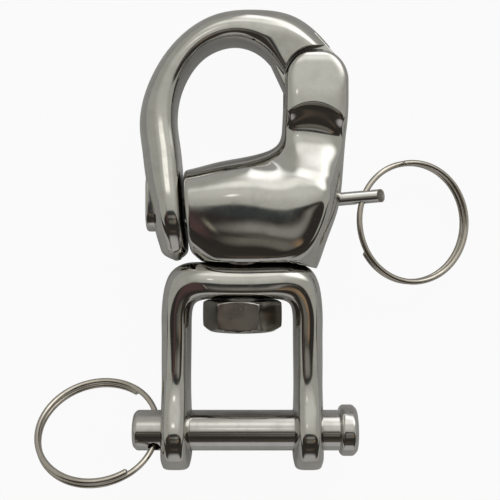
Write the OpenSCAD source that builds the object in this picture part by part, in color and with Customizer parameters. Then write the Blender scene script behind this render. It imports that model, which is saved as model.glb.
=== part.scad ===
// Swivel snap shackle with a fork end, in millimetres.
// The origin is the middle of the clevis pin. X runs along that pin, Y along the
// line of load from the fork to the bail, and Z is up from the flat side it lies on.

/* [Fork jaw] */
// clear space between the two eyes
jaw_gap = 19.2; // [16:0.1:22]
// length of the fork from the pin's axis to the top of its crossbar
jaw_reach = 31.75; // [28:0.05:37]
// thickness of each leg below the crossbar
leg_t = 5.5; // [4.6:0.1:6.8]
// depth of each leg, front to back, at its slimmest
leg_depth = 9.4; // [8:0.1:11]
// thickness of each eye along the pin
eye_t = 5.6; // [4.8:0.1:7]
// outer radius of each eye
eye_r = 7.3; // [6.4:0.1:8.4]
// height of the crossbar
bar_t = 6.9; // [5.8:0.1:8.2]
// depth of the crossbar, front to back
bar_depth = 12.8; // [11.6:0.1:15]

/* [Clevis pin] */
// diameter of the clevis pin
pin_d = 7.5; // [6.4:0.1:8.6]
// diameter of the pin's head
pin_head_d = 9.5; // [9.2:0.1:11.4]
// thickness of the pin's head
pin_head_t = 3.3; // [2.6:0.1:4.4]
// bare length between the head and the eye beside it
pin_head_gap = 3.1; // [1:0.1:4]
// length of the plain end that stands out beyond the other eye
pin_tail = 5.3; // [4.4:0.1:6.6]

/* [Swivel bolt] */
// diameter of the bolt's shank
bolt_d = 8; // [6.6:0.1:9]
// hexagon head across its flats
hex_af = 13; // [11.6:0.1:14.6]
// height of the hexagon head
hex_h = 5.8; // [4.6:0.1:7]
// length of the shank that is screwed into the body
bolt_hold = 6.1; // [4.6:0.1:6.6]
// turn of the hexagon about the bolt's axis, in degrees
hex_turn = -6; // [-30:1:30]

/* [Body] */
// depth of the body's barrel, front to back
body_depth = 17.6; // [15.4:0.1:20]
// height of the barrel's latch face above the fork
block_h = 17; // [15.4:0.1:19.6]
// distance from the swivel axis to the latch face, along the plunger
latch_face = 10.2; // [9:0.1:11.6]
// radius of the round foot that turns on the fork
foot_r = 7.4; // [6.6:0.1:8.2]
// sideways place of the gate's hinge
hinge_x = 13.8; // [12:0.1:15.6]
// height of the gate's hinge above the fork
hinge_up = 33.4; // [30:0.1:38]
// radius of the two hinge cheeks
cheek_r = 5.95; // [5.2:0.05:6.8]
// depth over the two hinge cheeks
cheek_depth = 11.6; // [10.6:0.1:13]
// depth of the hinge post at its neck, below the cheeks
neck_depth = 8; // [7.6:0.1:9.6]
// drop of the body's skirt outside the fork's round shoulders
skirt_drop = 1.6; // [1:0.1:1.8]
// diameter of the gate's hinge pin
hinge_pin_d = 4; // [3:0.1:4.8]

/* [Gate] */
// clear width of the bail between the gate and the hinge post
bail_w = 20.2; // [17.6:0.1:23]
// rise of the bail's inner top above the hinge
arch_rise = 7.3; // [6:0.1:9]
// width of the gate's arm
arm_w = 6.8; // [5.8:0.1:8]
// depth of the gate's arm, front to back
arm_depth = 11; // [10:0.1:12.6]
// thickness of the tongue between the cheeks
tongue_t = 6; // [5:0.1:6.4]
// thickness of the arm's end where it steps down beside the cheeks
step_t = 8.6; // [8:0.1:9.2]
// radius about the hinge where that step starts
shoulder_r = 8.6; // [8.2:0.1:9.6]
// angle by which the gate opens, in degrees
gate_open = 100; // [90:1:104]
// height and depth of the pad on the gate's outer side
pad_h = 11.4; // [9.6:0.1:13]
pad_depth = 6.6; // [5.6:0.1:8]

/* [Plunger] */
// diameter of the plunger's thick end
plunger_d = 5; // [4.2:0.1:5.6]
// diameter of its stem
stem_d = 2.5; // [2.2:0.1:2.8]
// height of the plunger's axis above the fork, at the swivel axis
plunger_up = 10; // [9.2:0.1:11]
// slope of the plunger, in degrees
plunger_tilt = 5; // [3:0.5:7]
// reach of the plunger into the gate when it is latched
latch_reach = 2.4; // [1.8:0.1:2.8]
// length of stem from the swivel axis to its cut end
stem_end = 27.3; // [26:0.1:30]
// place of the ring's hole along the plunger from the swivel axis
stem_hole_at = 23; // [22.4:0.1:24]
// wire of the plunger's spring
spring_wire = 0.5; // [0.4:0.05:0.6]
// turns of the plunger's spring
spring_turns = 6; // [4:1:6]

/* [Split rings] */
// wire of both split rings
wire_d = 1.1; // [0.8:0.05:1.2]
// outer diameter of the pull ring on the plunger
pull_ring_od = 24; // [20:0.5:27]
// outer diameter of the ring that keeps the clevis pin
clevis_ring_od = 23.5; // [20:0.5:27]
// turns of wire in each split ring
ring_turns = 1.7; // [1.4:0.05:1.8]
// open space between the turns of a split ring
ring_gap = 0.45; // [0.42:0.01:0.7]

/* [Clearances] */
// running clearance of a pin in its bore, on the radius
run_gap = 0.05; // [0.03:0.01:0.12]
// clearance between the fork and the parts that turn on it
swivel_gap = 0.25; // [0.15:0.05:0.4]
// clearance on each side of the tongue
tongue_gap = 0.2; // [0.15:0.05:0.35]
// gap of the seam between the gate and the latch face
seam_gap = 0.6; // [0.4:0.05:0.8]

/* [Hidden] */
$fn = 64;
bar_under = jaw_reach - bar_t;
half_gap = jaw_gap / 2;
eye_out = half_gap + eye_t;
foot_y = jaw_reach + swivel_gap;
hinge = [hinge_x, foot_y + hinge_up];
hinge_pin_front = cheek_depth / 2 - 0.9;
hinge_pin_back = cheek_depth / 2 - 0.2;
slot_r = cheek_r + 1.65;
body_half = body_depth / 2;
cheek_half = cheek_depth / 2;
neck_half = neck_depth / 2;
skirt_r = foot_r + 3.3;
cheek_lean = 0.13;
arm_half = arm_depth / 2;
axis_y = foot_y + plunger_up;
hollow_r = cheek_r + 0.35;
dome_y = axis_y + 0.6;
gate_x = hinge_x - cheek_r - bail_w;
plunger_r = plunger_d / 2;
barrel_r = plunger_r + run_gap;
barrel_end = hinge_x + 0.35;
plunger_tip = -latch_face + 0.15;
plunger_travel = latch_reach + seam_gap + 0.15;
plunger_shoulder = barrel_end - spring_turns * (spring_wire + 0.5) - spring_wire - 0.2;
socket_end = latch_face + seam_gap + latch_reach + 0.35;
pad_out = latch_face + arm_w + 0.95;
ring_half_turn = 180 * ring_turns;
ring_single = 360 - ring_half_turn;
ring_pitch = wire_d + ring_gap;
steel = [0.72, 0.71, 0.67];
dark_steel = [0.6, 0.59, 0.56];
wire_steel = [0.8, 0.8, 0.78];

// lean of the pull ring: its tilt to the table, and how far its wire leans in the hole
pull_tilt = 18;
pull_lean = 24;
pull_flat = [cos(pull_tilt), 0, -sin(pull_tilt)];
pull_tangent = sin(pull_lean) * pull_flat + cos(pull_lean) * [0, 1, 0];
pull_out = cos(pull_lean) * pull_flat - sin(pull_lean) * [0, 1, 0];
pull_hole = [stem_hole_at * cos(plunger_tilt), axis_y + stem_hole_at * sin(plunger_tilt), 0];

// lean of the clevis ring: the pin is turned so that its hole slopes, and the ring droops
keep_turn = 47;
keep_droop = 0.5;
keep_tangent = [0, -cos(keep_turn), sin(keep_turn)];
keep_down = [0, -sin(keep_turn), -cos(keep_turn)];
keep_out = cos(keep_droop) * [-1, 0, 0] + sin(keep_droop) * keep_down;
keep_hole = [-eye_out - wire_d / 2 - 0.6, 0, 0];
keep_hole_r = wire_d / 2 + pin_d * pin_d / (8 * clevis_ring_od) + 0.3;

function seam_x(y) = -latch_face / cos(plunger_tilt) - (y - axis_y) * tan(plunger_tilt);

// value on a smooth curve through the stations p, a part t of the way past station i
function curve(p, i, t) =
    let (a = p[max(i - 1, 0)], b = p[i], c = p[i + 1], d = p[min(i + 2, len(p) - 1)])
    0.5 * (2 * b + (c - a) * t + (2 * a - 5 * b + 4 * c - d) * t * t
    + (3 * b - a - 3 * c + d) * t * t * t);
function stations(p, n) = concat(
    [for (i = [0:len(p) - 2]) for (k = [0:n - 1]) curve(p, i, k / n)],
    [p[len(p) - 1]]);

// one closed section: s holds its right end, its left end, the ridge between them and its half depth
function section(s, right_n, left_n, sides) =
    let (right = [s[0], s[1]], left = [s[2], s[3]], ridge = left + s[4] * (right - left))
    [for (k = [0:sides - 1])
        let (c = cos(360 * k / sides), q = sin(360 * k / sides))
        let (n = c > 0 ? right_n : left_n, end = c > 0 ? right : left)
        let (p = ridge + (end - ridge) * pow(abs(c), 2 / n))
        [p.x, p.y, s[5] * sign(q) * pow(abs(q), 2 / n)]];
function middle(loop) = [for (k = [0:2]) [for (p = loop) 1] * [for (p = loop) p[k]] / len(loop)];

module loft(loops) {
    n = len(loops[0]);
    last = (len(loops) - 1) * n;
    ends = last + n;
    points = concat([for (r = loops) each r], [middle(loops[0]), middle(loops[len(loops) - 1])]);
    walls = [for (j = [0:n:last - n]) for (i = [0:n - 1])
        let (a = j + i, b = j + (i + 1) % n)
        each [[a, b, b + n], [a, b + n, a + n]]];
    caps = [for (i = [0:n - 1])
        let (b = (i + 1) % n)
        each [[ends, b, i], [ends + 1, last + i, last + b]]];
    polyhedron(points, concat(walls, caps), convexity = 8);
}

// loops of a wire of radius r about the middle line given by coil(angle) = [radius, height]
function wire_loops(path, r, sides) = [for (p = path)
    [for (k = [0:sides - 1])
        let (c = cos(360 * k / sides), q = sin(360 * k / sides))
        [(p[1] + r * c) * cos(p[0]), (p[1] + r * c) * sin(p[0]), p[2] + r * q]]];
function wire_point(p) = [p[1] * cos(p[0]), p[1] * sin(p[0]), p[2]];
function least_gap(path, d) = min([for (i = [0:len(path) - 1]) for (j = [i + 1:1:len(path) - 1])
    if (path[j][0] - path[i][0] > 180) norm(wire_point(path[i]) - wire_point(path[j])) - d]);

// split ring: its two ends overlap side by side, and one strand crosses at the hole, at angle 0
function ease(x) = abs(x) > 1 ? sign(x) : 1.5 * x - 0.5 * x * x * x;
function split_path(od) = [for (k = [-34:34])
    let (angle = ring_half_turn * k / 34)
    [angle, (od - wire_d) / 2, ring_pitch / 2 * ease(angle / ring_single)]];
function spring_path() = [for (k = [0:spring_turns * 10])
    [36 * k, (stem_d + plunger_d) / 4, k / 10 * (spring_wire + 0.5)]];

module place(x_axis, y_axis, at) {
    z_axis = cross(x_axis, y_axis);
    multmatrix([[x_axis.x, y_axis.x, z_axis.x, at.x], [x_axis.y, y_axis.y, z_axis.y, at.y],
        [x_axis.z, y_axis.z, z_axis.z, at.z], [0, 0, 0, 1]]) children();
}
module along_plunger() {
    translate([0, axis_y, 0]) rotate([0, 0, plunger_tilt]) rotate([0, 90, 0]) children();
}
module along_y(y) {
    translate([0, y, 0]) rotate([-90, 0, 0]) children();
}
module along_hole(at, tangent, r, h) {
    side = [1, 0, 0] - tangent.x * tangent;
    place(side / norm(side), cross(tangent, side / norm(side)), at) cylinder(r = r, h = h, center = true);
}
module at_hinge() {
    translate([hinge.x, hinge.y, 0]) children();
}

// disc with rounded rims, standing on its flat face
module rounded_disc(r, t, rim) {
    rotate_extrude() {
        square([r - rim, t]);
        translate([0, rim]) square([r, t - 2 * rim]);
        translate([r - rim, rim]) circle(rim);
        translate([r - rim, t - rim]) circle(rim);
    }
}

// fork: right leg, crossbar and left leg, each row with its outer and inner point
function jaw_half() = [
    [eye_out - 0.3, -1.5, half_gap + 0.3, -1.5, 0.5, eye_r - 1.1],
    [eye_out - 0.3, 4.5, half_gap + 0.25, 4.5, 0.5, leg_depth / 2 + 0.9],
    [half_gap + leg_t + 0.05, 0.42 * bar_under, half_gap + 0.08, 0.42 * bar_under, 0.5, leg_depth / 2],
    [half_gap + leg_t + 0.05, 0.76 * bar_under, half_gap, 0.76 * bar_under, 0.5, leg_depth / 2 + 0.1],
    [half_gap + leg_t - 0.1, bar_under - 0.6, half_gap - 0.3, bar_under - 1.7, 0.47, leg_depth / 2 + 0.6],
    [half_gap + leg_t - 1.8, jaw_reach - 1.8, half_gap - 1.7, bar_under - 0.35, 0.42, bar_depth / 2 - 0.6],
    [half_gap - 0.5, jaw_reach + 0.1, half_gap - 3.8, bar_under, 0.38, bar_depth / 2 - 0.1],
    [3.6, jaw_reach + 0.2, 2.8, bar_under, 0.36, bar_depth / 2]];
function mirrored(p) = [for (i = [len(p) - 1:-1:0])
    [-p[i][0], p[i][1], -p[i][2], p[i][3], p[i][4], p[i][5]]];

module jaw() {
    color(steel) difference() {
        union() {
            rows = concat(jaw_half(), mirrored(jaw_half()));
            loft([for (s = stations(rows, 4)) section(s, 2.8, 2.6, 24)]);
            for (side = [-1, 1])
                translate([side * (half_gap + eye_t / 2) - eye_t / 2, 0, 0])
                    rotate([0, 90, 0]) rounded_disc(eye_r, eye_t, 1.9);
        }
        along_y(jaw_reach) cylinder(r = eye_out, h = 4);
        along_y(bar_under - 3) cylinder(r = hex_af / 2 + 1.1, h = 3);
        along_y(0) cylinder(r = bolt_d / 2 + run_gap, h = jaw_reach + 2);
        rotate([0, 90, 0]) cylinder(r = pin_d / 2 + run_gap, h = 3 * eye_out, center = true);
    }
}

module clevis_pin() {
    tail = eye_out + pin_tail;
    head = eye_out + pin_head_gap;
    color(steel) difference() {
        rotate([0, 90, 0]) rotate_extrude() polygon([
            [0, -tail], [pin_d / 2 - 0.7, -tail], [pin_d / 2, -tail + 0.7], [pin_d / 2, head],
            [pin_head_d / 2 - 0.5, head], [pin_head_d / 2, head + 0.5],
            [pin_head_d / 2, head + pin_head_t - 0.8], [pin_head_d / 2 - 0.8, head + pin_head_t],
            [0, head + pin_head_t]]);
        along_hole(keep_hole, keep_tangent, keep_hole_r, 2 * pin_d);
    }
}

module split_ring(od) {
    loft(wire_loops(split_path(od), wire_d / 2, 8));
    echo(str("split ring of ", od, " mm: least gap to itself ", least_gap(split_path(od), wire_d)));
}
module clevis_ring() {
    sag = pin_d * pin_d / (8 * clevis_ring_od);
    color(wire_steel)
        place(-keep_out, keep_tangent, keep_hole + ((clevis_ring_od - wire_d) / 2 - sag) * keep_out)
            split_ring(clevis_ring_od);
}
module pull_ring() {
    color(wire_steel)
        place(-pull_out, pull_tangent, pull_hole + (pull_ring_od - wire_d) / 2 * pull_out)
            split_ring(pull_ring_od);
}

module swivel_bolt() {
    top = bar_under - swivel_gap;
    corner = hex_af / sqrt(3);
    color(dark_steel) {
        along_y(top - 0.01) cylinder(r = bolt_d / 2, h = foot_y + bolt_hold - top);
        along_y(top - hex_h) intersection() {
            rotate([0, 0, hex_turn]) cylinder(r = corner, h = hex_h, $fn = 6);
            rotate_extrude() polygon([[0, 0], [corner - 1.35, 0], [corner - 0.12, 0.75],
                [corner - 0.12, hex_h - 0.75], [corner - 1.35, hex_h], [0, hex_h]]);
        }
    }
}

// half depth of the body at p: the barrel's dome falls to the post's neck, more slowly on the post's
// side, and the neck swells to the cheeks, which lean back a little towards their tops
function step(x) = let (t = min(max(x, 0), 1)) t * t * (3 - 2 * t);
function from_dome(p) =
    let (across = abs(p.x) / (hinge_x + 4.2))
    let (along = max(p.y - dome_y, 0.75 * (dome_y - p.y)) / (0.56 * block_h))
    pow(pow(across, 2.5) + pow(along, 2.5), 0.4);
function lean(u) = u < 0 ? 0 : u < 2 ? u * u / 4 : u - 1;
function body_half_at(p) =
    let (slow = step((p.x - 0.15 * hinge_x) / (0.65 * hinge_x)))
    neck_half + (body_half - neck_half) * step((1.3 + 0.12 * slow - from_dome(p)) / (0.5 + 0.12 * slow))
    + (cheek_half - neck_half) * step((p.y - hinge.y + 1.62 * cheek_r) / (0.86 * cheek_r))
    - cheek_lean * lean(p.y - hinge.y + 0.6 * cheek_r);

// body: right end follows the underside and the outer edge, left end the latch side and the post
function body_rows() = [
    [-latch_face - 2.6, foot_y + 4.6, -latch_face - 5, foot_y + block_h - 0.7, 0.5, 0.86],
    [-latch_face + 1.2, foot_y + 1.1, -latch_face - 0.4, foot_y + block_h, 0.45, 0.92],
    [-0.3 * latch_face, foot_y - 2.8, -0.5 * latch_face, foot_y + block_h + 1.4, 0.39, 0.98],
    [0.36 * hinge_x, foot_y - 3.4, 0.04 * hinge_x, foot_y + block_h + 2.5, 0.39, 1],
    [hinge_x - 1.3, foot_y - 3.6, hinge_x - cheek_r - 3.2, foot_y + block_h + 3.6, 0.4, 0.98],
    [hinge_x + 0.31 * cheek_r, foot_y + 3.2, hinge_x - 1.2 * cheek_r, foot_y + block_h + 4.9, 0.42, 0.98],
    [hinge_x + 0.69 * cheek_r, foot_y + 9.6, hinge_x - 1.08 * cheek_r, foot_y + block_h + 6.5, 0.46, 1],
    [hinge_x + 0.86 * cheek_r, foot_y + block_h, hinge_x - 1.04 * cheek_r, foot_y + block_h + 8.6, 0.5, 1],
    [hinge_x + 0.97 * cheek_r, hinge.y - 8.2, hinge_x - 1.01 * cheek_r, hinge.y - 5, 0.5, 1],
    [hinge_x + cheek_r, hinge.y, hinge_x - cheek_r, hinge.y, 0.5, 1]];
function cheek_rows(n) = [for (a = [14, 28, 41, 53, 64, 74, 82, 88])
    [hinge_x + cheek_r * cos(a), hinge.y + cheek_r * sin(a), hinge_x - cheek_r * cos(a),
        hinge.y + cheek_r * sin(a), 0.5, pow(1 - pow(sin(a), n), 1 / n)]];
// its sections are round at the barrel and flatter at the cheeks
function body_section(s) =
    let (flat = step((s[3] - hinge.y + 1.4 * cheek_r) / cheek_r))
    [for (p = section(s, 3.2 + flat, 2.4 + 2.6 * flat, 32)) [p.x, p.y, p.z * body_half_at(p)]];

module body() {
    color(steel) difference() {
        union() {
            loft([for (s = concat(stations(body_rows(), 4), cheek_rows(5))) body_section(s)]);
            along_y(foot_y) rotate_extrude() polygon([[0, 0], [foot_r - 0.5, 0], [foot_r, 0.5],
                [foot_r, 4], [0, 4]]);
        }
        along_y(foot_y) rotate_extrude() polygon([[0, 0], [skirt_r, 0], [hinge_x + 1, -skirt_drop],
            [2 * hinge_x, -skirt_drop], [2 * hinge_x, -6], [0, -6]]);
        along_plunger() translate([0, 0, -latch_face - 9]) cylinder(r = block_h, h = 9);
        along_plunger() translate([0, 0, -latch_face - 1])
            cylinder(r = barrel_r, h = latch_face + 1 + barrel_end);
        along_plunger() cylinder(r = stem_d / 2 + run_gap, h = 2 * barrel_end);
        along_y(foot_y - 1) cylinder(r = bolt_d / 2, h = 1 + bolt_hold + 0.2);
        at_hinge() cylinder(r = slot_r, h = tongue_t + 2 * tongue_gap, center = true);
        at_hinge() translate([0, 0, -cheek_depth])
            cylinder(r = hinge_pin_d / 2, h = cheek_depth + hinge_pin_front);
    }
}

module gate_hinge_pin() {
    color(dark_steel) at_hinge() translate([0, 0, -hinge_pin_back])
        cylinder(r = hinge_pin_d / 2, h = hinge_pin_back + hinge_pin_front);
}

// gate: inner points from the hinge round the bail, each with the way across the arm
function bail_rows() = [for (p = [
    [0.784, 0.03, 1.25, 0.95, 0.97], [0.715, 0.36, 1.11, 1.04, 0.96], [0.623, 0.73, 0.8, 1.08, 0.95],
    [0.489, 0.985, 0.37, 0.96, 0.94], [0.34, 0.985, -0.15, 0.85, 0.94], [0.195, 0.73, -0.53, 0.6, 0.94],
    [0.08, 0.22, -0.8, 0.3, 0.94], [0.015, -0.38, -0.95, 0.06, 0.94], [0, -1.04, -1.02, -0.03, 0.97]])
    let (x = gate_x + p[0] * (hinge_x - gate_x), y = hinge.y + p[1] * arch_rise)
    [x + p[2] * arm_w, y + p[3] * arm_w, x, y, 0.42, p[4] * arm_half]];
function latch_rows() = [for (p = [
    [1.22, -1.12, -0.1, 1.04], [0.88, -1.08, 0.6, 1.05], [0.56, -0.98, 0.8, 1.02],
    [0.3, -0.94, 0.8, 0.92], [0.14, -0.86, 0.7, 0.78], [0.045, -0.71, -0.1, 0.56],
    [0.005, -0.5, -1.2, 0.28]])
    let (y = foot_y + p[0] * block_h, x = seam_x(y))
    [x + p[1] * arm_w, y, x + p[2], y + 0.02 * block_h, 0.42, p[3] * arm_half]];

// point of a circle about the hinge where a line from p touches it, on the side given by turn
function touch(p, r, turn) =
    let (a = atan2(p.y, p.x) + turn * acos(r / norm(p)))
    [r * cos(a), r * sin(a)];

// hollow of the gate's hinge end: round the cheeks, with a slope up from the step to the arm's faces,
// and straight where the end swings down beside the post
module hinge_hollow() {
    high = shoulder_r + arm_depth - step_t / 2;
    rotate_extrude() polygon([[0, -arm_depth], [high, -arm_depth], [shoulder_r, -step_t / 2],
        [hollow_r, -step_t / 2], [hollow_r, step_t / 2], [shoulder_r, step_t / 2],
        [high, arm_depth], [0, arm_depth]]);
    rotate([0, 0, gate_open]) translate([-2 * hollow_r, -2 * hollow_r, -arm_depth])
        cube([3 * hollow_r - 0.1, 2 * hollow_r, 2 * arm_depth]);
}

module gate() {
    tongue_r = cheek_r - 0.05;
    outer = [-0.15, shoulder_r + 0.4];
    inner = [-shoulder_r + 0.4, 0.42 * shoulder_r];
    color(steel) difference() {
        union() {
            difference() {
                loft([for (s = stations(concat(bail_rows(), latch_rows()), 4)) section(s, 2.1, 5, 24)]);
                at_hinge() hinge_hollow();
            }
            at_hinge() linear_extrude(tongue_t, center = true) {
                circle(tongue_r);
                polygon([touch(outer, tongue_r, -1), outer, [-0.55 * shoulder_r, shoulder_r + 0.9],
                    [-shoulder_r - 0.4, 0.65 * shoulder_r], inner, touch(inner, tongue_r, 1), [0, 0]]);
            }
            translate([-pad_out, axis_y + 1.2, 0]) rotate([0, 90, 0]) linear_extrude(arm_w / 2) {
                square([pad_depth, pad_h - pad_depth], center = true);
                for (end = [-1, 1]) translate([0, end * (pad_h - pad_depth) / 2]) circle(pad_depth / 2);
            }
        }
        along_plunger() translate([0, 0, -latch_face - seam_gap]) cylinder(r = block_h, h = block_h);
        along_plunger() translate([0, 0, -socket_end]) cylinder(r = plunger_r + 0.15, h = block_h);
        along_plunger() translate([0, 0, -2 * latch_face]) cylinder(r = 0.95, h = 2 * latch_face);
        at_hinge() cylinder(r = hinge_pin_d / 2 + run_gap, h = 2 * tongue_t, center = true);
    }
}

module plunger() {
    color(dark_steel) difference() {
        along_plunger() difference() {
            rotate_extrude() polygon([[0, plunger_tip], [plunger_r - 0.6, plunger_tip],
                [plunger_r, plunger_tip + 0.6], [plunger_r, plunger_shoulder],
                [stem_d / 2, plunger_shoulder], [stem_d / 2, stem_end], [0, stem_end]]);
            translate([stem_d / 2, 0, stem_end]) rotate([0, -38, 0])
                translate([-3 * stem_d, -stem_d, 0]) cube([4 * stem_d, 2 * stem_d, 2 * stem_d]);
        }
        along_hole(pull_hole, pull_tangent, wire_d / 2 + 0.15, 3 * stem_d);
    }
}

module plunger_spring() {
    color(wire_steel) along_plunger() translate([0, 0, plunger_shoulder + spring_wire / 2 + 0.1])
        loft(wire_loops(spring_path(), spring_wire / 2, 6));
    echo(str("plunger spring: least gap to itself ", least_gap(spring_path(), spring_wire)));
}

jaw();
clevis_pin();
clevis_ring();
swivel_bolt();
body();
gate_hinge_pin();
gate();
plunger();
plunger_spring();
pull_ring();
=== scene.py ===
"""Looks of a swivel snap shackle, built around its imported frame.

Sizes are millimetres in the part's own frame: X along the clevis pin, Y along the load from the
fork to the bail, Z up from the side it lies on. A mesh is turned to metres when it is made.
"""

import logging
from dataclasses import dataclass, field
from enum import Enum
from math import cos, radians, sin, sqrt, tan
from typing import Callable, Sequence

import bpy
import numpy as np
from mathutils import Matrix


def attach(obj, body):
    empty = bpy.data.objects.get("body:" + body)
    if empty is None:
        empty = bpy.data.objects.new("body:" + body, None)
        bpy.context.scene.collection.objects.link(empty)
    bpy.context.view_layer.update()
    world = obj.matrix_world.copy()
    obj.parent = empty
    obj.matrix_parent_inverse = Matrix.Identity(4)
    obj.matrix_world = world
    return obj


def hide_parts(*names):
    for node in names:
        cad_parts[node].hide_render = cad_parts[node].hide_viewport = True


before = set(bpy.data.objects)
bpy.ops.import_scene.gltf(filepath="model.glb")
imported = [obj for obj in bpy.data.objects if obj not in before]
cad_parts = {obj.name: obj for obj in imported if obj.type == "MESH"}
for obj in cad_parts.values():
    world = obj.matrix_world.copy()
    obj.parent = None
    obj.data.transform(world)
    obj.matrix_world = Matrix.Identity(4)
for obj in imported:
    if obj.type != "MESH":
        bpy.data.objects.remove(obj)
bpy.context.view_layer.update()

MM = 0.001
SHARP_EDGE = radians(34)
Points = np.ndarray
log = logging.getLogger("snap_shackle")


class Slot(Enum):
    """Material slots of the part's record."""

    CASTING = "polished_steel"
    PIN = "pin_steel"
    BOLT = "bolt_steel"
    WIRE = "wire_steel"


class Carve(Enum):
    """Ways to join or cut one solid with another."""

    ADD = "UNION"
    CUT = "DIFFERENCE"


# Curves and surfaces as whole arrays


def unit(vectors: Points) -> Points:
    """Scale vectors, held in the last axis, to length one."""
    return vectors / np.linalg.norm(vectors, axis=-1, keepdims=True)


def around(count: int) -> Points:
    """Give evenly spaced angles round a circle."""
    return np.linspace(0, 2 * np.pi, count, endpoint=False)


def circle(angle: Points, side: Points, other: Points) -> Points:
    """Turn from one vector towards another by angles: cos(angle) side + sin(angle) other."""
    return np.cos(angle)[..., None] * side + np.sin(angle)[..., None] * other


def lengths_along(path: Points) -> Points:
    """Give the length of a path up to each of its points."""
    return np.concatenate([[0], np.cumsum(np.linalg.norm(np.diff(path, axis=0), axis=1))])


def parabola(t: Points, start: Points, corner: Points, stop: Points) -> Points:
    """Bend from start to stop round a corner: (1 - t)^2 start + 2 t (1 - t) corner + t^2 stop."""
    return (1 - t) ** 2 * start + 2 * t * (1 - t) * corner + t * t * stop


def lifted(flat: Points, height: Points) -> Points:
    """Add a third coordinate to rings of points in a plane."""
    return np.concatenate([flat, np.broadcast_to(height, flat.shape[:2])[:, :, None]], axis=2)


def spline(rows: Points, per_span: int, end_slope: Points | None = None) -> Points:
    """Draw a smooth curve of rows through the given rows.

    A cubic runs between each two rows, with knots as far apart as the rows' middles. The second
    derivatives agree at each knot and are zero at the ends, or the last end has a given slope.

    Args:
        rows: One row of values per station; the first four are two points in X and Y.
        per_span: Steps between two stations.
        end_slope: Slope of each value per millimetre at the last station.

    Returns:
        The dense rows, one per step.
    """
    middles = (rows[:, 0:2] + rows[:, 2:4]) / 2
    gaps = np.linalg.norm(np.diff(middles, axis=0), axis=1)
    count = len(rows)
    system = np.eye(count)
    right = np.zeros_like(rows)
    inner = np.arange(1, count - 1)
    system[inner, inner - 1] = gaps[:-1]
    system[inner, inner] = 2 * (gaps[:-1] + gaps[1:])
    system[inner, inner + 1] = gaps[1:]
    slopes = np.diff(rows, axis=0) / gaps[:, None]
    right[1:-1] = 6 * np.diff(slopes, axis=0)
    if end_slope is not None:
        system[-1, -2:] = gaps[-1], 2 * gaps[-1]
        right[-1] = 6 * (end_slope - slopes[-1])
    bend = np.linalg.solve(system, right)
    place = np.linspace(0, count - 1, (count - 1) * per_span + 1)
    low = np.minimum(place.astype(int), count - 2)
    b = (place - low)[:, None]
    a = 1 - b
    h = gaps[low][:, None]
    curved = (a**3 - a) * bend[low] + (b**3 - b) * bend[low + 1]
    return a * rows[low] + b * rows[low + 1] + h * h / 6 * curved


def sections(rows: Points, right_n: Points | float, left_n: Points | float, sides: int) -> Points:
    """Carry a rounded section along rows.

    Each section is a superellipse about a ridge between its right and left end, and its power
    differs on the two sides. Its radius at an angle is (|cos|^n + |sin|^n)^(-1/n).

    Args:
        rows: Right end, left end, ridge place and half depth of each section.
        right_n: Power on the right side, for all rows or one per row.
        left_n: Power on the left side.
        sides: Points round each section.

    Returns:
        Points of all sections, by row and angle.
    """
    angle = around(sides)[None, :]
    c, s = np.cos(angle), np.sin(angle)
    power = np.where(c > 0, np.reshape(right_n, (-1, 1)), np.reshape(left_n, (-1, 1)))
    radius = (np.abs(c) ** power + np.abs(s) ** power) ** (-1 / power)
    across = (radius * c)[:, :, None]
    right, left = rows[:, None, 0:2], rows[:, None, 2:4]
    ridge = left + rows[:, None, 4:5] * (right - left)
    flat = ridge + np.where(across > 0, across * (right - ridge), -across * (left - ridge))
    return lifted(flat, rows[:, 5:6] * radius * s)


def soft_floor(value: Points, limit: Points | float, blend: float) -> Points:
    """Raise values to a limit with a rounded corner: limit + b ln(1 + e^((value - limit) / b))."""
    return limit + blend * np.logaddexp(0, (value - limit) / blend)


def step(x: Points) -> Points:
    """Rise smoothly from 0 to 1 as x does: 3 t^2 - 2 t^3 of x held in that range."""
    t = np.clip(x, 0, 1)
    return t * t * (3 - 2 * t)


def rounded(corners: Sequence[tuple[float, float]], radius: float, steps: int = 6) -> Points:
    """Round the corners of an open outline with parabolas that start a radius from each corner.

    Args:
        corners: Points of the outline.
        radius: How far from a corner its rounding starts, at most nearly half the shorter side.
        steps: Points on each rounding.

    Returns:
        The rounded outline.
    """
    points = np.asarray(corners, float)
    middle = points[1:-1]
    before, after = points[:-2] - middle, points[2:] - middle
    lengths = [np.linalg.norm(v, axis=1, keepdims=True) for v in (before, after)]
    most_of_side = 0.48
    reach = np.minimum(radius, np.minimum(*lengths) * most_of_side)
    start = (middle + before / lengths[0] * reach)[:, None, :]
    stop = (middle + after / lengths[1] * reach)[:, None, :]
    arcs = parabola(np.linspace(0, 1, steps)[None, :, None], start, middle[:, None, :], stop)
    return np.concatenate([points[:1], arcs.reshape(-1, 2), points[-1:]])


def axes_from(direction: Sequence[float]) -> tuple[Points, Points, Points]:
    """Give a unit direction and two unit vectors square to it and to each other.

    Args:
        direction: Way along the first axis, of any length.

    Returns:
        The three axes, right-handed.
    """
    along = unit(np.asarray(direction, float))
    helper = np.eye(3)[np.argmin(np.abs(along))]
    side = unit(np.cross(helper, along))
    return along, side, np.cross(along, side)


def turned(
    profile: Points, origin: Sequence[float], direction: Sequence[float], sides: int = 128
) -> Points:
    """Turn a profile of (place along, radius) about an axis, as rings of points.

    Args:
        profile: Places along the axis, each with a radius above zero.
        origin: Point of the axis from which places are measured.
        direction: Way along the axis.
        sides: Points round each ring.

    Returns:
        Rings of points, one per place.
    """
    along, side, other = axes_from(direction)
    spine = np.asarray(origin, float) + profile[:, 0:1] * along
    return spine[:, None, :] + profile[:, 1, None, None] * circle(around(sides), side, other)[None]


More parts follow.
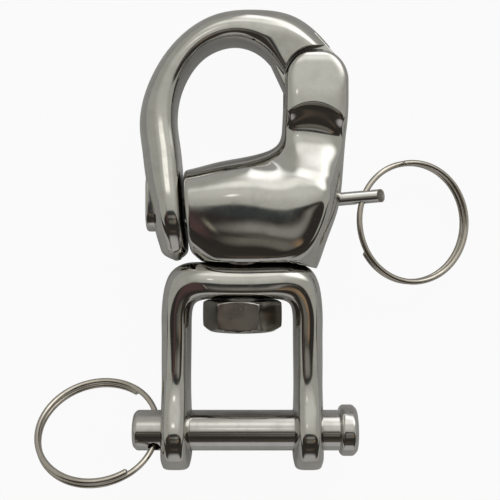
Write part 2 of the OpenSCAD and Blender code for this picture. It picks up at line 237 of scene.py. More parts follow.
def tube(path: Points, radius: float, sides: int = 20) -> Points:
    """Sweep a round wire along a path, with both ends eased.

    The frame at each point is the path's tangent and the part of the way out from the path's middle
    that is square to it. Near an end the radius shrinks along a quarter of an ellipse to a half.

    Args:
        path: Points of the middle line.
        radius: Radius of the wire.
        sides: Points round the wire.

    Returns:
        Rings of points along the wire.
    """
    tangent = unit(np.gradient(path, axis=0))
    outward = path - path.mean(axis=0)
    outward = unit(outward - (outward * tangent).sum(axis=1, keepdims=True) * tangent)
    other = np.cross(tangent, outward)
    length = lengths_along(path)
    from_end = np.minimum(length, length[-1] - length)
    ease_length, lost_at_end = 0.35 * radius, 0.75
    taper = np.sqrt(1 - lost_at_end * np.clip(1 - from_end / ease_length, 0, 1) ** 2)
    rings = circle(around(sides)[None, :], outward[:, None], other[:, None])
    return path[:, None] + radius * taper[:, None, None] * rings


def trimmed(
    grid: Points, inside: Points, onto: Callable[[Points], Points], fillet: float,
    cap_rings: int = 14,
) -> Points:
    """Start a swept grid on a surface that cuts it, with a rounded edge and a filled end.

    Each lengthwise line starts where the field crosses zero. The wall begins a fillet away from
    that edge point, the end face begins a fillet inside it, a parabola joins the two, and the end
    face closes in on its middle, laid onto the cutting surface.

    Args:
        grid: Dense points by row and angle.
        inside: Field on the grid, below zero where material goes.
        onto: Lays points onto the cutting surface.
        fillet: Reach of the rounded edge on both sides.
        cap_rings: Rings of the end face.

    Returns:
        Rings from the middle of the end face outwards and then along the wall.
    """
    rows, sides = inside.shape
    column = np.arange(sides)
    first = np.argmax(inside > 0, axis=0)
    before = inside[first - 1, column]
    start = first - 1 + before / (before - inside[first, column])

    def at(place: Points) -> Points:
        """Give the grid's points at one place between rows per lengthwise line.

        Args:
            place: Row numbers with fractions, one per line in the last axis.

        Returns:
            Points blended from the two nearest rows.
        """
        low = np.clip(place.astype(int), 0, rows - 2)
        part = (place - low)[..., None]
        return grid[low, column] * (1 - part) + grid[low + 1, column] * part

    edge = at(start)
    stride = np.linalg.norm(at(start + 1) - edge, axis=1)
    wall_start = start + fillet / stride
    share = np.linspace(0, 1, rows - int(first.min()))[:, None]
    wall = at(wall_start + share * (rows - 1 - wall_start))
    middle = edge.mean(axis=0)
    reach = np.linalg.norm(edge - middle, axis=1, keepdims=True)
    rim = onto(edge + (middle - edge) / reach * fillet)
    bend = parabola(np.linspace(0, 1, 8)[1:-1, None, None], rim, edge, wall[0])
    hub = 0.04
    inwards = np.linspace(hub, 1, cap_rings)[:, None, None]
    face = onto(middle + inwards * (rim - middle))
    return np.concatenate([face, bend, wall])


def domed(ring: Points, towards: Points, rise: float, rings: int = 8) -> Points:
    """Close a ring with a quarter-ellipse dome: it shrinks by the cosine and rises by the sine.

    Args:
        ring: Points round the ring.
        towards: Unit vector along which the dome rises.
        rise: Height of the dome.
        rings: Steps from the ring to the dome's middle.

    Returns:
        Rings of the dome after the given one, without its middle.
    """
    angle = np.linspace(0, np.pi / 2, rings + 1)[1:-1, None, None]
    middle = ring.mean(axis=0)
    return middle + (ring - middle) * np.cos(angle) + towards * rise * np.sin(angle)


def slab(outline: Points, centre: Points, low: float, high: float, rim: float) -> Points:
    """Thicken a closed outline in its own plane, with round rims.

    Args:
        outline: Points round the outline, in the plane's two coordinates.
        centre: Point in the plane that sees the whole outline.
        low: Height of the lower face.
        high: Height of the upper face.
        rim: Radius of the rims.

    Returns:
        Rings of (first, second, height) from the upper face to the lower.
    """
    ahead = np.roll(outline, -1, axis=0) - np.roll(outline, 1, axis=0)
    normal = unit(np.stack([ahead[:, 1], -ahead[:, 0]], axis=1))
    normal *= np.sign(((outline - centre) * normal).sum())
    turn = np.linspace(0, np.pi / 2, 6)
    inset = rim * (1 - np.concatenate([np.sin(turn), np.cos(turn)]))
    height = np.concatenate([high - rim + rim * np.cos(turn), low + rim - rim * np.sin(turn)])
    rings = outline[None] - inset[:, None, None] * normal[None]
    inwards = np.linspace(0.05, 1, 6)[:-1, None, None]
    face = centre + inwards * (rings[0] - centre)
    back = centre + inwards[::-1] * (rings[-1] - centre)
    flat = np.concatenate([face, rings, back])
    tall = np.concatenate([np.full(len(face), high), height, np.full(len(back), low)])
    return lifted(flat, tall[:, None])


# Meshes


def put(name: str, data: bpy.types.ID) -> bpy.types.Object:
    """Set an object of the given data into the scene, at the origin.

    Args:
        name: Name of the object.
        data: Mesh, camera or light.

    Returns:
        The new object.
    """
    item = bpy.data.objects.new(name, data)
    bpy.context.scene.collection.objects.link(item)
    return item


def solid(name: str, rings: Points) -> bpy.types.Object:
    """Make a closed mesh object from rings, with each end fanned to its middle.

    Args:
        name: Name of the object.
        rings: Points by ring and place round the ring, in millimetres.

    Returns:
        The object, in metres, with its faces outwards.
    """
    count, sides = rings.shape[:2]
    ends = np.stack([rings[0].mean(axis=0), rings[-1].mean(axis=0)])
    points = np.concatenate([rings.reshape(-1, 3), ends]) * MM
    ring, spoke = np.meshgrid(np.arange(count - 1), np.arange(sides), indexing="ij")
    a = (ring * sides + spoke).ravel()
    b = (ring * sides + (spoke + 1) % sides).ravel()
    quads = np.stack([a, b, b + sides, a + sides], axis=1)
    here = np.arange(sides)
    after = (here + 1) % sides
    last = (count - 1) * sides
    fans = np.concatenate([
        np.stack([np.full(sides, count * sides), after, here], axis=1),
        np.stack([np.full(sides, count * sides + 1), last + here, last + after], axis=1),
    ])
    split = np.concatenate([quads[:, [0, 1, 2]], quads[:, [0, 2, 3]], fans])
    corner = points[split]
    volume = np.einsum("ij,ij->", corner[:, 0], np.cross(corner[:, 1], corner[:, 2]))
    if volume < 0:
        quads, fans = quads[:, ::-1], fans[:, ::-1]
    mesh = bpy.data.meshes.new(name)
    mesh.from_pydata(points.tolist(), [], quads.tolist() + fans.tolist())
    mesh.update()
    return put(name, mesh)


def carve(piece: bpy.types.Object, rings: Points, how: Carve) -> None:
    """Join a solid of rings to a piece, or cut it away, and keep the result as the piece's mesh.

    Args:
        piece: Piece to be changed.
        rings: Rings of the other solid, in millimetres.
        how: Whether it is added or cut away.
    """
    tool = solid("tool", rings)
    change = piece.modifiers.new("carve", "BOOLEAN")
    change.operation = how.value
    change.solver = "MANIFOLD"
    change.object = tool
    ready = bpy.context.evaluated_depsgraph_get()
    mesh = bpy.data.meshes.new_from_object(piece.evaluated_get(ready))
    piece.modifiers.clear()
    spent = [piece.data, tool.data]
    piece.data = mesh
    mesh.name = piece.name
    bpy.data.objects.remove(tool)
    for old in spent:
        bpy.data.meshes.remove(old)


def both_ways(half: list[tuple[float, float]]) -> list[tuple[float, float]]:
    """Put a profile's mirror image about place 0 before it."""
    return [(-place, radius) for place, radius in half[::-1]] + half


def drill(
    piece: bpy.types.Object, profile: Sequence[tuple[float, float]], origin: Sequence[float],
    way: Sequence[float], sides: int = 128,
) -> None:
    """Cut a turned hole out of a piece.

    Args:
        piece: Piece to be cut.
        profile: Places along the hole, each with a radius.
        origin: Point from which places are measured.
        way: Way along the hole.
        sides: Points round the hole.
    """
    carve(piece, turned(np.array(profile), origin, way, sides), Carve.CUT)


def smooth(piece: bpy.types.Object) -> None:
    """Shade a piece smooth with crisp edges, and mark the points on such edges as worn.

    Args:
        piece: Piece whose mesh is finished.
    """
    mesh = piece.data
    mesh.shade_smooth()
    mesh.set_sharp_from_angle(angle=SHARP_EDGE)
    edges = np.zeros(len(mesh.edges) * 2, np.int32)
    mesh.edges.foreach_get("vertices", edges)
    edges = edges.reshape(-1, 2)
    crisp = np.zeros(len(mesh.edges), bool)
    if "sharp_edge" in mesh.attributes:
        mesh.attributes["sharp_edge"].data.foreach_get("value", crisp)
    near = np.zeros(len(mesh.vertices), np.float32)
    near[edges[crisp].ravel()] = 1
    worn = mesh.attributes.new("worn", "FLOAT", "POINT")
    worn.data.foreach_set("value", near)


# Finishes


class Nodes:
    """A short way to add and link shader nodes in one tree."""

    def __init__(self, tree: bpy.types.NodeTree) -> None:
        """Empty the tree and keep it."""
        self.tree = tree
        tree.nodes.clear()

    def add(self, kind: str, settings: dict | None = None, **inputs: object) -> bpy.types.Node:
        """Add a node, set its options, and set or link its inputs by name.

        Args:
            kind: Node type without its ShaderNode prefix.
            settings: Options of the node.
            inputs: Values or sockets; an underscore in a name stands for a space.

        Returns:
            The new node.
        """
        node = self.tree.nodes.new("ShaderNode" + kind)
        for key, value in (settings or {}).items():
            setattr(node, key, value)
        for key, value in inputs.items():
            self.feed(node.inputs[key.replace("_", " ")], value)
        return node

    def feed(self, socket: bpy.types.NodeSocket, value: object) -> None:
        """Link a socket to another, or set its value.

        Args:
            socket: Input to be fed.
            value: Output socket or plain value.
        """
        if isinstance(value, bpy.types.NodeSocket):
            self.tree.links.new(value, socket)
        else:
            socket.default_value = value

    def math(self, operation: str, *values: object) -> bpy.types.NodeSocket:
        """Add a Math node on up to three values.

        Args:
            operation: What the node works out.
            values: Values or sockets, in the node's order.

        Returns:
            Socket of the result.
        """
        node = self.tree.nodes.new("ShaderNodeMath")
        node.operation = operation
        for socket, value in zip(node.inputs, values):
            self.feed(socket, value)
        return node.outputs[0]

    def ramp(
        self, value: object, low: float, high: float, start: float = 0.0, stop: float = 1.0
    ) -> bpy.types.NodeSocket:
        """Map a value from one range to another by 3 t^2 - 2 t^3, held at its ends.

        Args:
            value: Value or socket.
            low: Value where the change starts.
            high: Value where it ends.
            start: Result up to the low value.
            stop: Result from the high value on.

        Returns:
            Socket of the result.
        """
        node = self.add("MapRange", {"interpolation_type": "SMOOTHSTEP"}, Value=value)
        limits = {"From Min": low, "From Max": high, "To Min": start, "To Max": stop}
        for name, limit in limits.items():
            node.inputs[name].default_value = limit
        return node.outputs[0]

    def blend(self, share: object, first: object, second: object) -> bpy.types.NodeSocket:
        """Mix two colours by a share.

        Args:
            share: Share of the second colour, as a value or socket.
            first: Colour or socket.
            second: Colour or socket.

        Returns:
            Socket of the colour.
        """
        node = self.tree.nodes.new("ShaderNodeMix")
        node.data_type = "RGBA"
        for index, value in ((0, share), (6, first), (7, second)):
            self.feed(node.inputs[index], value)
        return node.outputs[2]

    def cover(
        self, colour: object, mark: object, share: float, paint: object
    ) -> bpy.types.NodeSocket:
        """Lay a share of paint over a colour where a mark is, and give the colour."""
        return self.blend(self.math("MULTIPLY", mark, share), colour, paint)

    def end(self, kind: str, surface: bpy.types.NodeSocket) -> None:
        """Lead a shader to the tree's output."""
        self.feed(self.add(kind).inputs["Surface"], surface)


Colour = tuple[float, float, float, float]
WHITE: Colour = (1.0, 1.0, 1.0, 1)


@dataclass(frozen=True)
class Wear:
    """Marks of use, and a painted shade in crevices, that all the steel shares.

    Attributes:
        dull_from_to: Values of the cloud noise over which the steel turns dull.
        streak_from_to: Values of the line noise over which a line turns dull.
        pit_from_to: Distances from a pit's middle over which it ends.
        pit_depth: Depth of a pit, in millimetres.
        seam: Reach of the occlusion that sets where the painted shade falls, in millimetres.
        painted_shade_from_to: Open shares of the surroundings over which the painted shade ends.
        roughening: Roughness added by pits and by the painted shade's mask.
        pit: Colour in pits.
        bare: Colour of worn edges.
        painted_shade: Colour painted into crevices as shade.
        dull_share: Share of the duller colour in dull clouds.
        pit_share: Share of the pits' colour.
        bare_share: Share of the bare colour on worn edges.
        painted_shade_share: Share of the painted shade in crevices and seams.
        cloud_haze: Share of the haze that clouds add.
        streak_haze: Share of the haze that lines add.
    """

    dull_from_to: tuple[float, float] = (0.42, 0.68)
    streak_from_to: tuple[float, float] = (0.45, 0.72)
    pit_from_to: tuple[float, float] = (0.02, 0.05)
    pit_depth: float = 0.02
    seam: float = 2.2
    painted_shade_from_to: tuple[float, float] = (0.1, 0.5)
    roughening: float = 0.3
    pit: Colour = (0.10, 0.09, 0.08, 1)
    bare: Colour = (0.80, 0.79, 0.76, 1)
    painted_shade: Colour = (0.03, 0.028, 0.025, 1)
    dull_share: float = 0.8
    pit_share: float = 0.7
    bare_share: float = 0.5
    painted_shade_share: float = 0.8
    cloud_haze: float = 0.6
    streak_haze: float = 0.7


WEAR = Wear()


@dataclass(frozen=True)
class SteelFinish:
    """Stainless steel as it is left by polishing, turning, forging or drawing.

    Attributes:
        name: Name of the material.
        light: Colour where the steel is clean.
        shade: Colour in its duller clouds.
        rough: Roughness where it is brightest.
        haze: Roughness added by clouds and fine lines.
        ripple: Height of the slow waves that hand polishing leaves, in millimetres.
        ripple_size: Number of such waves in ten millimetres.
        grain: Stretch of the fine lines along X, Y and Z, in lines per millimetre.
        grain_depth: Height of the fine lines, in millimetres.
        pits: How much wider than usual its tiny pits are, in pit distances.
    """

    name: str
    light: Colour
    shade: Colour
    rough: float
    haze: float
    ripple: float
    ripple_size: float
    grain: tuple[float, float, float]
    grain_depth: float
    pits: float = 0.0

    def material(self) -> bpy.types.Material:
        """Build the material, or give the one already built.

        Returns:
            A procedural material on Object coordinates.
        """
        found = bpy.data.materials.get(self.name)
        if found:
            return found
        material = bpy.data.materials.new(self.name)
        material.use_nodes = True
        nodes = Nodes(material.node_tree)

        def noise(**inputs: object) -> bpy.types.NodeSocket:
            """Add a noise texture and give its value."""
            return nodes.add("TexNoise", **inputs).outputs[0]

        place = nodes.add("TexCoord").outputs["Object"]
        at = nodes.add("VectorMath", {"operation": "SCALE"}, Vector=place, Scale=1 / MM).outputs[0]
        lines_at = nodes.add("Mapping", Vector=at, Scale=self.grain).outputs[0]
        clouds = noise(Vector=at, Scale=0.32, Detail=3.0, Roughness=0.55)
        waves = noise(Vector=at, Scale=self.ripple_size / 10, Detail=1.0)
        lines = noise(Vector=lines_at, Scale=1.0, Detail=4.0, Roughness=0.7)
        cells = nodes.add("TexVoronoi", Vector=at, Scale=1.3, Randomness=1.0).outputs["Distance"]
        # Ambient occlusion darkens the steel in seams and crevices: this is painted shade, not dirt.
        occlusion = nodes.add("AmbientOcclusion", {"samples": 4}, Distance=WEAR.seam * MM).outputs["AO"]
        worn = nodes.add("Attribute", {"attribute_name": "worn"}).outputs["Fac"]
        dull = nodes.ramp(clouds, *WEAR.dull_from_to)
        streak = nodes.ramp(lines, *WEAR.streak_from_to)
        pit = nodes.ramp(cells, *(edge + self.pits for edge in WEAR.pit_from_to), 1.0, 0.0)
        painted_shade = nodes.ramp(occlusion, *WEAR.painted_shade_from_to, 1.0, 0.0)
        colour = nodes.cover(self.light, dull, WEAR.dull_share, self.shade)
        colour = nodes.cover(colour, pit, WEAR.pit_share, WEAR.pit)
        colour = nodes.cover(colour, worn, WEAR.bare_share, WEAR.bare)
        # Painted shade: darken the colour where the occlusion finds metal close by.
        colour = nodes.cover(colour, painted_shade, WEAR.painted_shade_share, WEAR.painted_shade)
        hazy = nodes.math("MULTIPLY", streak, WEAR.streak_haze)
        hazy = nodes.math("MULTIPLY_ADD", dull, WEAR.cloud_haze, hazy)
        rough = nodes.math("MULTIPLY_ADD", hazy, self.haze, self.rough)
        marred = nodes.math("MAXIMUM", pit, painted_shade)
        rough = nodes.math("MULTIPLY_ADD", marred, WEAR.roughening, rough)
        height = nodes.math("MULTIPLY", waves, self.ripple)
        height = nodes.math("MULTIPLY_ADD", lines, self.grain_depth, height)
        height = nodes.math("MULTIPLY_ADD", pit, -WEAR.pit_depth, height)
        bump = nodes.add("Bump", Height=height, Strength=1.0, Distance=MM).outputs[0]
        steel = nodes.add(
            "BsdfPrincipled", Base_Color=colour, Metallic=1.0, Roughness=rough, Normal=bump)
        nodes.end("OutputMaterial", steel.outputs[0])
        return material


MIRROR = SteelFinish(
    name="mirror_polished_casting", light=(0.665, 0.655, 0.615, 1), shade=(0.60, 0.59, 0.55, 1),
    rough=0.05, haze=0.07, ripple=0.010, ripple_size=3.2, grain=(9.0, 1.2, 9.0),
    grain_depth=0.0004,
)
TURNED = SteelFinish(
    name="lathe_turned_steel", light=(0.70, 0.685, 0.655, 1), shade=(0.60, 0.59, 0.56, 1),
    rough=0.09, haze=0.09, ripple=0.002, ripple_size=2.0, grain=(26.0, 0.5, 0.5),
    grain_depth=0.0016,
)
FORGED = SteelFinish(
    name="milled_bolt_steel", light=(0.58, 0.56, 0.52, 1), shade=(0.46, 0.44, 0.40, 1),
    rough=0.13, haze=0.12, ripple=0.012, ripple_size=6.0, grain=(3.0, 14.0, 3.0),
    grain_depth=0.0016, pits=0.03,
)
DRAWN = SteelFinish(
    name="drawn_wire_steel", light=(0.68, 0.63, 0.555, 1), shade=(0.55, 0.50, 0.43, 1),
    rough=0.14, haze=0.14, ripple=0.003, ripple_size=8.0, grain=(6.0, 6.0, 1.5),
    grain_depth=0.0014, pits=0.01,
)


# Pieces


@dataclass
class Piece:
    """One visible piece: its place on the part, and the finish that it wears.

    Attributes:
        name: Name of the piece.
        node: CAD node that it stands for.
        rides: CAD body that it moves with.
        slot: Material slot of the record; not used.
        finish: Finish that it wears.
    """

    name: str
    node: str
    rides: str
    slot: Slot
    finish: SteelFinish

    def build(self) -> bpy.types.Object:
        """Make the piece's mesh object."""
        raise NotImplementedError

    def dress(self, piece: bpy.types.Object) -> None:
        """Give the piece its finish.

        Args:
            piece: Object that build made.
        """
        smooth(piece)
        piece.data.materials.clear()
        piece.data.materials.append(self.finish.material())

    def seat(self) -> bpy.types.Object:
        """Build, dress and hang the piece on its body.

        Returns:
            The finished object.
        """
        piece = self.build()
        self.dress(piece)
        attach(piece, self.rides)
        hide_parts(self.node)
        faces = len(piece.data.polygons)
        log.info("%s stands for %s on %s: %d faces", self.name, self.node, self.rides, faces)
        return piece


@dataclass
class Fork(Piece):
    """U-shaped jaw with an eye on each leg.

    Attributes:
        gap: Clear space between the eyes.
        reach: Length from the pin's axis to the top of the crossbar.
        leg_t: Thickness of a leg.
        leg_depth: Depth of a leg at its slimmest.
        eye_t: Thickness of an eye.
        eye_r: Outer radius of an eye.
        eye_rim: Radius of an eye's round rim.
        bar_t: Height of the crossbar.
        bar_depth: Depth of the crossbar.
        swivel_bore_r: Radius of the bore for the swivel bolt.
        pin_bore_r: Radius of the bore for the clevis pin.
        mouth: Width of the bevel at each bore's mouth.
    """

    gap: float = 19.2
    reach: float = 31.75
    leg_t: float = 5.5
    leg_depth: float = 9.4
    eye_t: float = 5.6
    eye_r: float = 7.3
    eye_rim: float = 1.9
    bar_t: float = 6.9
    bar_depth: float = 12.8
    swivel_bore_r: float = 4.05
    pin_bore_r: float = 3.8
    mouth: float = 0.35

    @property
    def under(self) -> float:
        """Height of the crossbar's underside."""
        return self.reach - self.bar_t

    def half_rows(self) -> Points:
        """Give the rows of the right half, from the tip of the eye up the leg to the crossbar.

        Round the eye, the half depth is a chord of its circle and the thickness closes in over the
        rim. Above it, the rows flow into the leg, round the corner and along the bar.

        Returns:
            Rows of outer point, inner point, ridge, half depth and section power.
        """
        inner, outer = self.gap / 2, self.gap / 2 + self.leg_t
        angle = np.radians([86, 74, 60, 44, 26, 8])
        low = -self.eye_r * np.sin(angle)
        lost = np.maximum(-low - (self.eye_r - self.eye_rim), 0)
        half = self.eye_t / 2 - self.eye_rim + np.sqrt(self.eye_rim**2 - lost**2)
        middle = inner + self.eye_t / 2
        eye = np.stack([
            middle + half, low, middle - half, low, np.full(6, 0.5),
            self.eye_r * np.cos(angle), np.full(6, 3.4),
        ], axis=1)
        leg = self.leg_depth / 2
        bar = self.bar_depth / 2
        rest = [
            [inner + self.eye_t - 0.05, 3.0, inner + 0.05, 3.0, 0.5, leg + 1.95, 3.2],
            [inner + self.eye_t - 0.1, 6.0, inner + 0.1, 6.0, 0.5, leg + 0.95, 3.0],
            [outer, 9.0, inner + 0.1, 9.0, 0.45, leg + 0.25, 2.6],
            [outer + 0.05, 0.5 * self.under, inner + 0.06, 0.5 * self.under, 0.4, leg, 2.4],
            [outer + 0.05, 0.76 * self.under, inner, 0.76 * self.under, 0.37, leg + 0.1, 2.4],
            [outer - 0.1, self.under - 0.6, inner - 0.3, self.under - 1.7, 0.35, leg + 0.6, 2.5],
            [outer - 1.8, self.reach - 1.8, inner - 1.7, self.under - 0.35, 0.33, bar - 0.6, 2.6],
            [inner - 0.5, self.reach + 0.1, inner - 3.8, self.under, 0.32, bar - 0.1, 2.7],
            [3.6, self.reach + 0.2, 2.8, self.under, 0.31, bar, 2.7],
        ]
        return np.concatenate([eye, rest])

    def build(self) -> bpy.types.Object:
        """Sweep the jaw from eye to eye, flatten its top, and bore it for the bolt and the pin.

        Its sections are superellipses on a smooth curve through the right half's rows and their
        mirror image.

        Returns:
            The fork.
        """
        half = self.half_rows()
        mirror = half[::-1] * np.array([-1, 1, -1, 1, 1, 1, 1])
        rows = spline(np.concatenate([half, mirror]), per_span=14)
        rings = sections(rows, rows[:, 6:7], rows[:, 6:7], sides=144)
        flat_edge = 0.08
        rings[:, :, 1] = -soft_floor(-rings[:, :, 1], -self.reach, flat_edge)
        piece = solid(self.name, rings)
        eye_in, eye_out = self.gap / 2, self.gap / 2 + self.eye_t
        mouth, past_eye, past_under, past_top = self.mouth, 6, 3, 2
        bore, wide = self.pin_bore_r, self.pin_bore_r + mouth
        drill(piece, both_ways([(eye_in, wide), (eye_in + mouth, bore), (eye_out - mouth, bore),
                                (eye_out, wide), (eye_out + past_eye, wide)]), (0, 0, 0), (1, 0, 0))
        bore, wide, under = self.swivel_bore_r, self.swivel_bore_r + mouth, self.under + 0.1
        drill(piece, [(self.under - past_under, wide), (under, wide), (under + mouth, bore),
                      (self.reach - mouth, bore), (self.reach, wide),
                      (self.reach + past_top, wide)], (0, 0, 0), (0, 1, 0))
        return piece


@dataclass
class ClevisPin(Piece):
    """Turned pin with a head at one end and a cross hole for its ring at the other.

    Attributes:
        diameter: Diameter of the pin.
        head_d: Diameter of its head.
        tail_x: Place of the plain end.
        head_x: Place where the head starts.
        head_t: Thickness of the head.
        hole_x: Place of the cross hole.
        hole_r: Radius of the cross hole.
        hole_turn: Turn of the cross hole about the pin, in degrees.
    """

    diameter: float = 7.5
    head_d: float = 9.5
    tail_x: float = -20.5
    head_x: float = 18.3
    head_t: float = 3.3
    hole_x: float = -16.35
    hole_r: float = 1.15
    hole_turn: float = 47.0

    @property
    def hole_way(self) -> Points:
        """Direction of the cross hole."""
        turn = radians(self.hole_turn)
        return np.array([0.0, -cos(turn), sin(turn)])

    def build(self) -> bpy.types.Object:
        """Turn the pin from its outline, with bevelled ends, and drill it.

        Returns:
            The pin.
        """
        r, head = self.diameter / 2, self.head_d / 2
        end = self.head_x + self.head_t
        hub, tail_bevel, under_bevel, head_bevel = 0.4, 0.7, 0.5, 0.8
        outline = rounded([
            (self.tail_x, hub), (self.tail_x, r - tail_bevel), (self.tail_x + tail_bevel, r),
            (self.head_x, r), (self.head_x, head - under_bevel), (self.head_x + under_bevel, head),
            (end - head_bevel, head), (end, head - head_bevel), (end, hub)], 0.35)
        piece = solid(self.name, turned(outline, (0, 0, 0), (1, 0, 0), sides=160))
        hole = both_ways([(self.diameter, self.hole_r)])
        drill(piece, hole, (self.hole_x, 0, 0), self.hole_way, sides=48)
        return piece


@dataclass
class SplitRing(Piece):
    """Split ring of round wire, one and a half turns and more, through a hole.

    Attributes:
        outer_d: Outer diameter of the ring.
        hole: Middle of the hole that it goes through.
        tangent: Way that its wire runs in the hole.
        out: Way from the hole to the ring's middle.
        sag: How far the wire's middle lies past the hole's middle.
        wire_d: Diameter of the wire.
        turns: Turns of wire.
        pitch: Distance between the two strands.
    """

    outer_d: float = 24.0
    hole: Points = field(default_factory=lambda: np.zeros(3))
    tangent: Points = field(default_factory=lambda: np.array([0.0, 1.0, 0.0]))
    out: Points = field(default_factory=lambda: np.array([1.0, 0.0, 0.0]))
    sag: float = 0.0
    wire_d: float = 1.1
    turns: float = 1.7
    pitch: float = 1.22

    def build(self) -> bpy.types.Object:
        """Sweep the wire: a circle with its two ends side by side, which crosses at the hole.

        Where one strand crosses over to the other, its height is half the pitch times
        1.5 c - 0.5 c^3, for c from -1 to 1 along the crossing.

        Returns:
            The ring.
        """
        half_turn = np.pi * self.turns
        angle = np.linspace(-half_turn, half_turn, 420)
        crossing = np.clip(angle / (2 * np.pi - half_turn), -1, 1)
        height = self.pitch / 2 * (1.5 * crossing - 0.5 * crossing**3)
        radius = (self.outer_d - self.wire_d) / 2
        middle = self.hole + (radius - self.sag) * self.out
        normal = np.cross(-self.out, self.tangent)
        path = middle + radius * circle(angle, -self.out, self.tangent) + height[:, None] * normal
        return solid(self.name, tube(path, self.wire_d / 2))


@dataclass
class SwivelBolt(Piece):
    """Hexagon-headed bolt that the head turns on.

    Attributes:
        shank_r: Radius of the shank.
        across_flats: Width of the head across its flats.
        head_top: Height of the head's upper face.
        head_h: Height of the head.
        top: Height of the shank's end, inside the body.
        turn: Turn of a corner of the hexagon from the front, in degrees.
        bevel: Height of the bevel on the corners of the head's free end, twice that of the other.
        shank_bevel: Size of the bevel at the shank's end.
    """

    shank_r: float = 4.0
    across_flats: float = 13.0
    head_top: float = 24.6
    head_h: float = 5.8
    top: float = 38.1
    turn: float = 24.0
    bevel: float = 0.85
    shank_bevel: float = 0.5

    def build(self) -> bpy.types.Object:
        """Work out the bolt as one surface of angle and height.

        The head's radius is the smaller of a hexagon's and of a bevel cone's, blended by a high
        power so that its edges are slightly round. The shank's radius is its own.

        Returns:
            The bolt.
        """
        sides = 360
        angle = around(sides)
        wedge = np.mod(angle - radians(self.turn), np.pi / 3) - np.pi / 6
        corner = self.across_flats / sqrt(3)
        hexagon = self.across_flats / 2 / np.cos(wedge)
        low, top = self.head_top - self.head_h, self.head_top
        base = corner - 1.5
        hub = base - 1.2
        cone = rounded([(low, hub), (low, base), (low + self.bevel, corner - 0.05),
                        (low + self.head_h / 2, corner + 0.6), (top - self.bevel / 2, corner),
                        (top, corner - self.bevel), (top, hub)], 0.2, steps=12)
        places, known = np.linspace(0, 1, 180), np.linspace(0, 1, len(cone))
        heights, limits = np.interp(places, known, cone[:, 0]), np.interp(places, known, cone[:, 1])
        power = 70.0
        head = (hexagon[None, :] ** -power + limits[:, None] ** -power) ** (-1 / power)
        face_rings = 7
        outwards = np.linspace(0.05, 1, face_rings + 1)[:-1, None]
        inwards = np.linspace(1, 0, face_rings + 1)[1:, None]
        shank = np.full((4, sides), self.shank_r)
        shank[-1] -= self.shank_bevel
        spread = np.concatenate([outwards * head[0], head,
                                 inwards * (head[-1] - self.shank_r) + self.shank_r, shank])
        tall = np.concatenate([np.full(face_rings, low), heights, np.full(face_rings, top),
                               [top + 2, self.top - 2, self.top - self.shank_bevel, self.top]])
        rings = np.stack([spread * np.sin(angle), np.broadcast_to(tall[:, None], spread.shape),
                          spread * np.cos(angle)], axis=2)
        return solid(self.name, rings)


@dataclass(frozen=True)
class PlungerLine:
    """Axis of the plunger, which the body's bore and the gate's socket share.

    Attributes:
        height: Height of the axis at the swivel axis.
        tilt: Slope of the axis, in degrees.
        latch_face: Distance from the swivel axis to the body's latch face.
        seam: Gap between that face and the gate.
    """

    height: float = 42.0
    tilt: float = 5.0
    latch_face: float = 10.2
    seam: float = 0.6

    @property
    def origin(self) -> Points:
        """Point of the axis on the swivel axis."""
        return np.array([0.0, self.height, 0.0])

    @property
    def way(self) -> Points:
        """Unit vector along the axis, away from the gate."""
        return np.array([cos(radians(self.tilt)), sin(radians(self.tilt)), 0.0])

    def along(self, points: Points) -> Points:
        """Give how far along the axis each point lies."""
        return (points - self.origin) @ self.way

    def face_x(self, y: Points) -> Points:
        """Give the latch face's X at a height."""
        slope = radians(self.tilt)
        return -self.latch_face / cos(slope) - (y - self.height) * tan(slope)


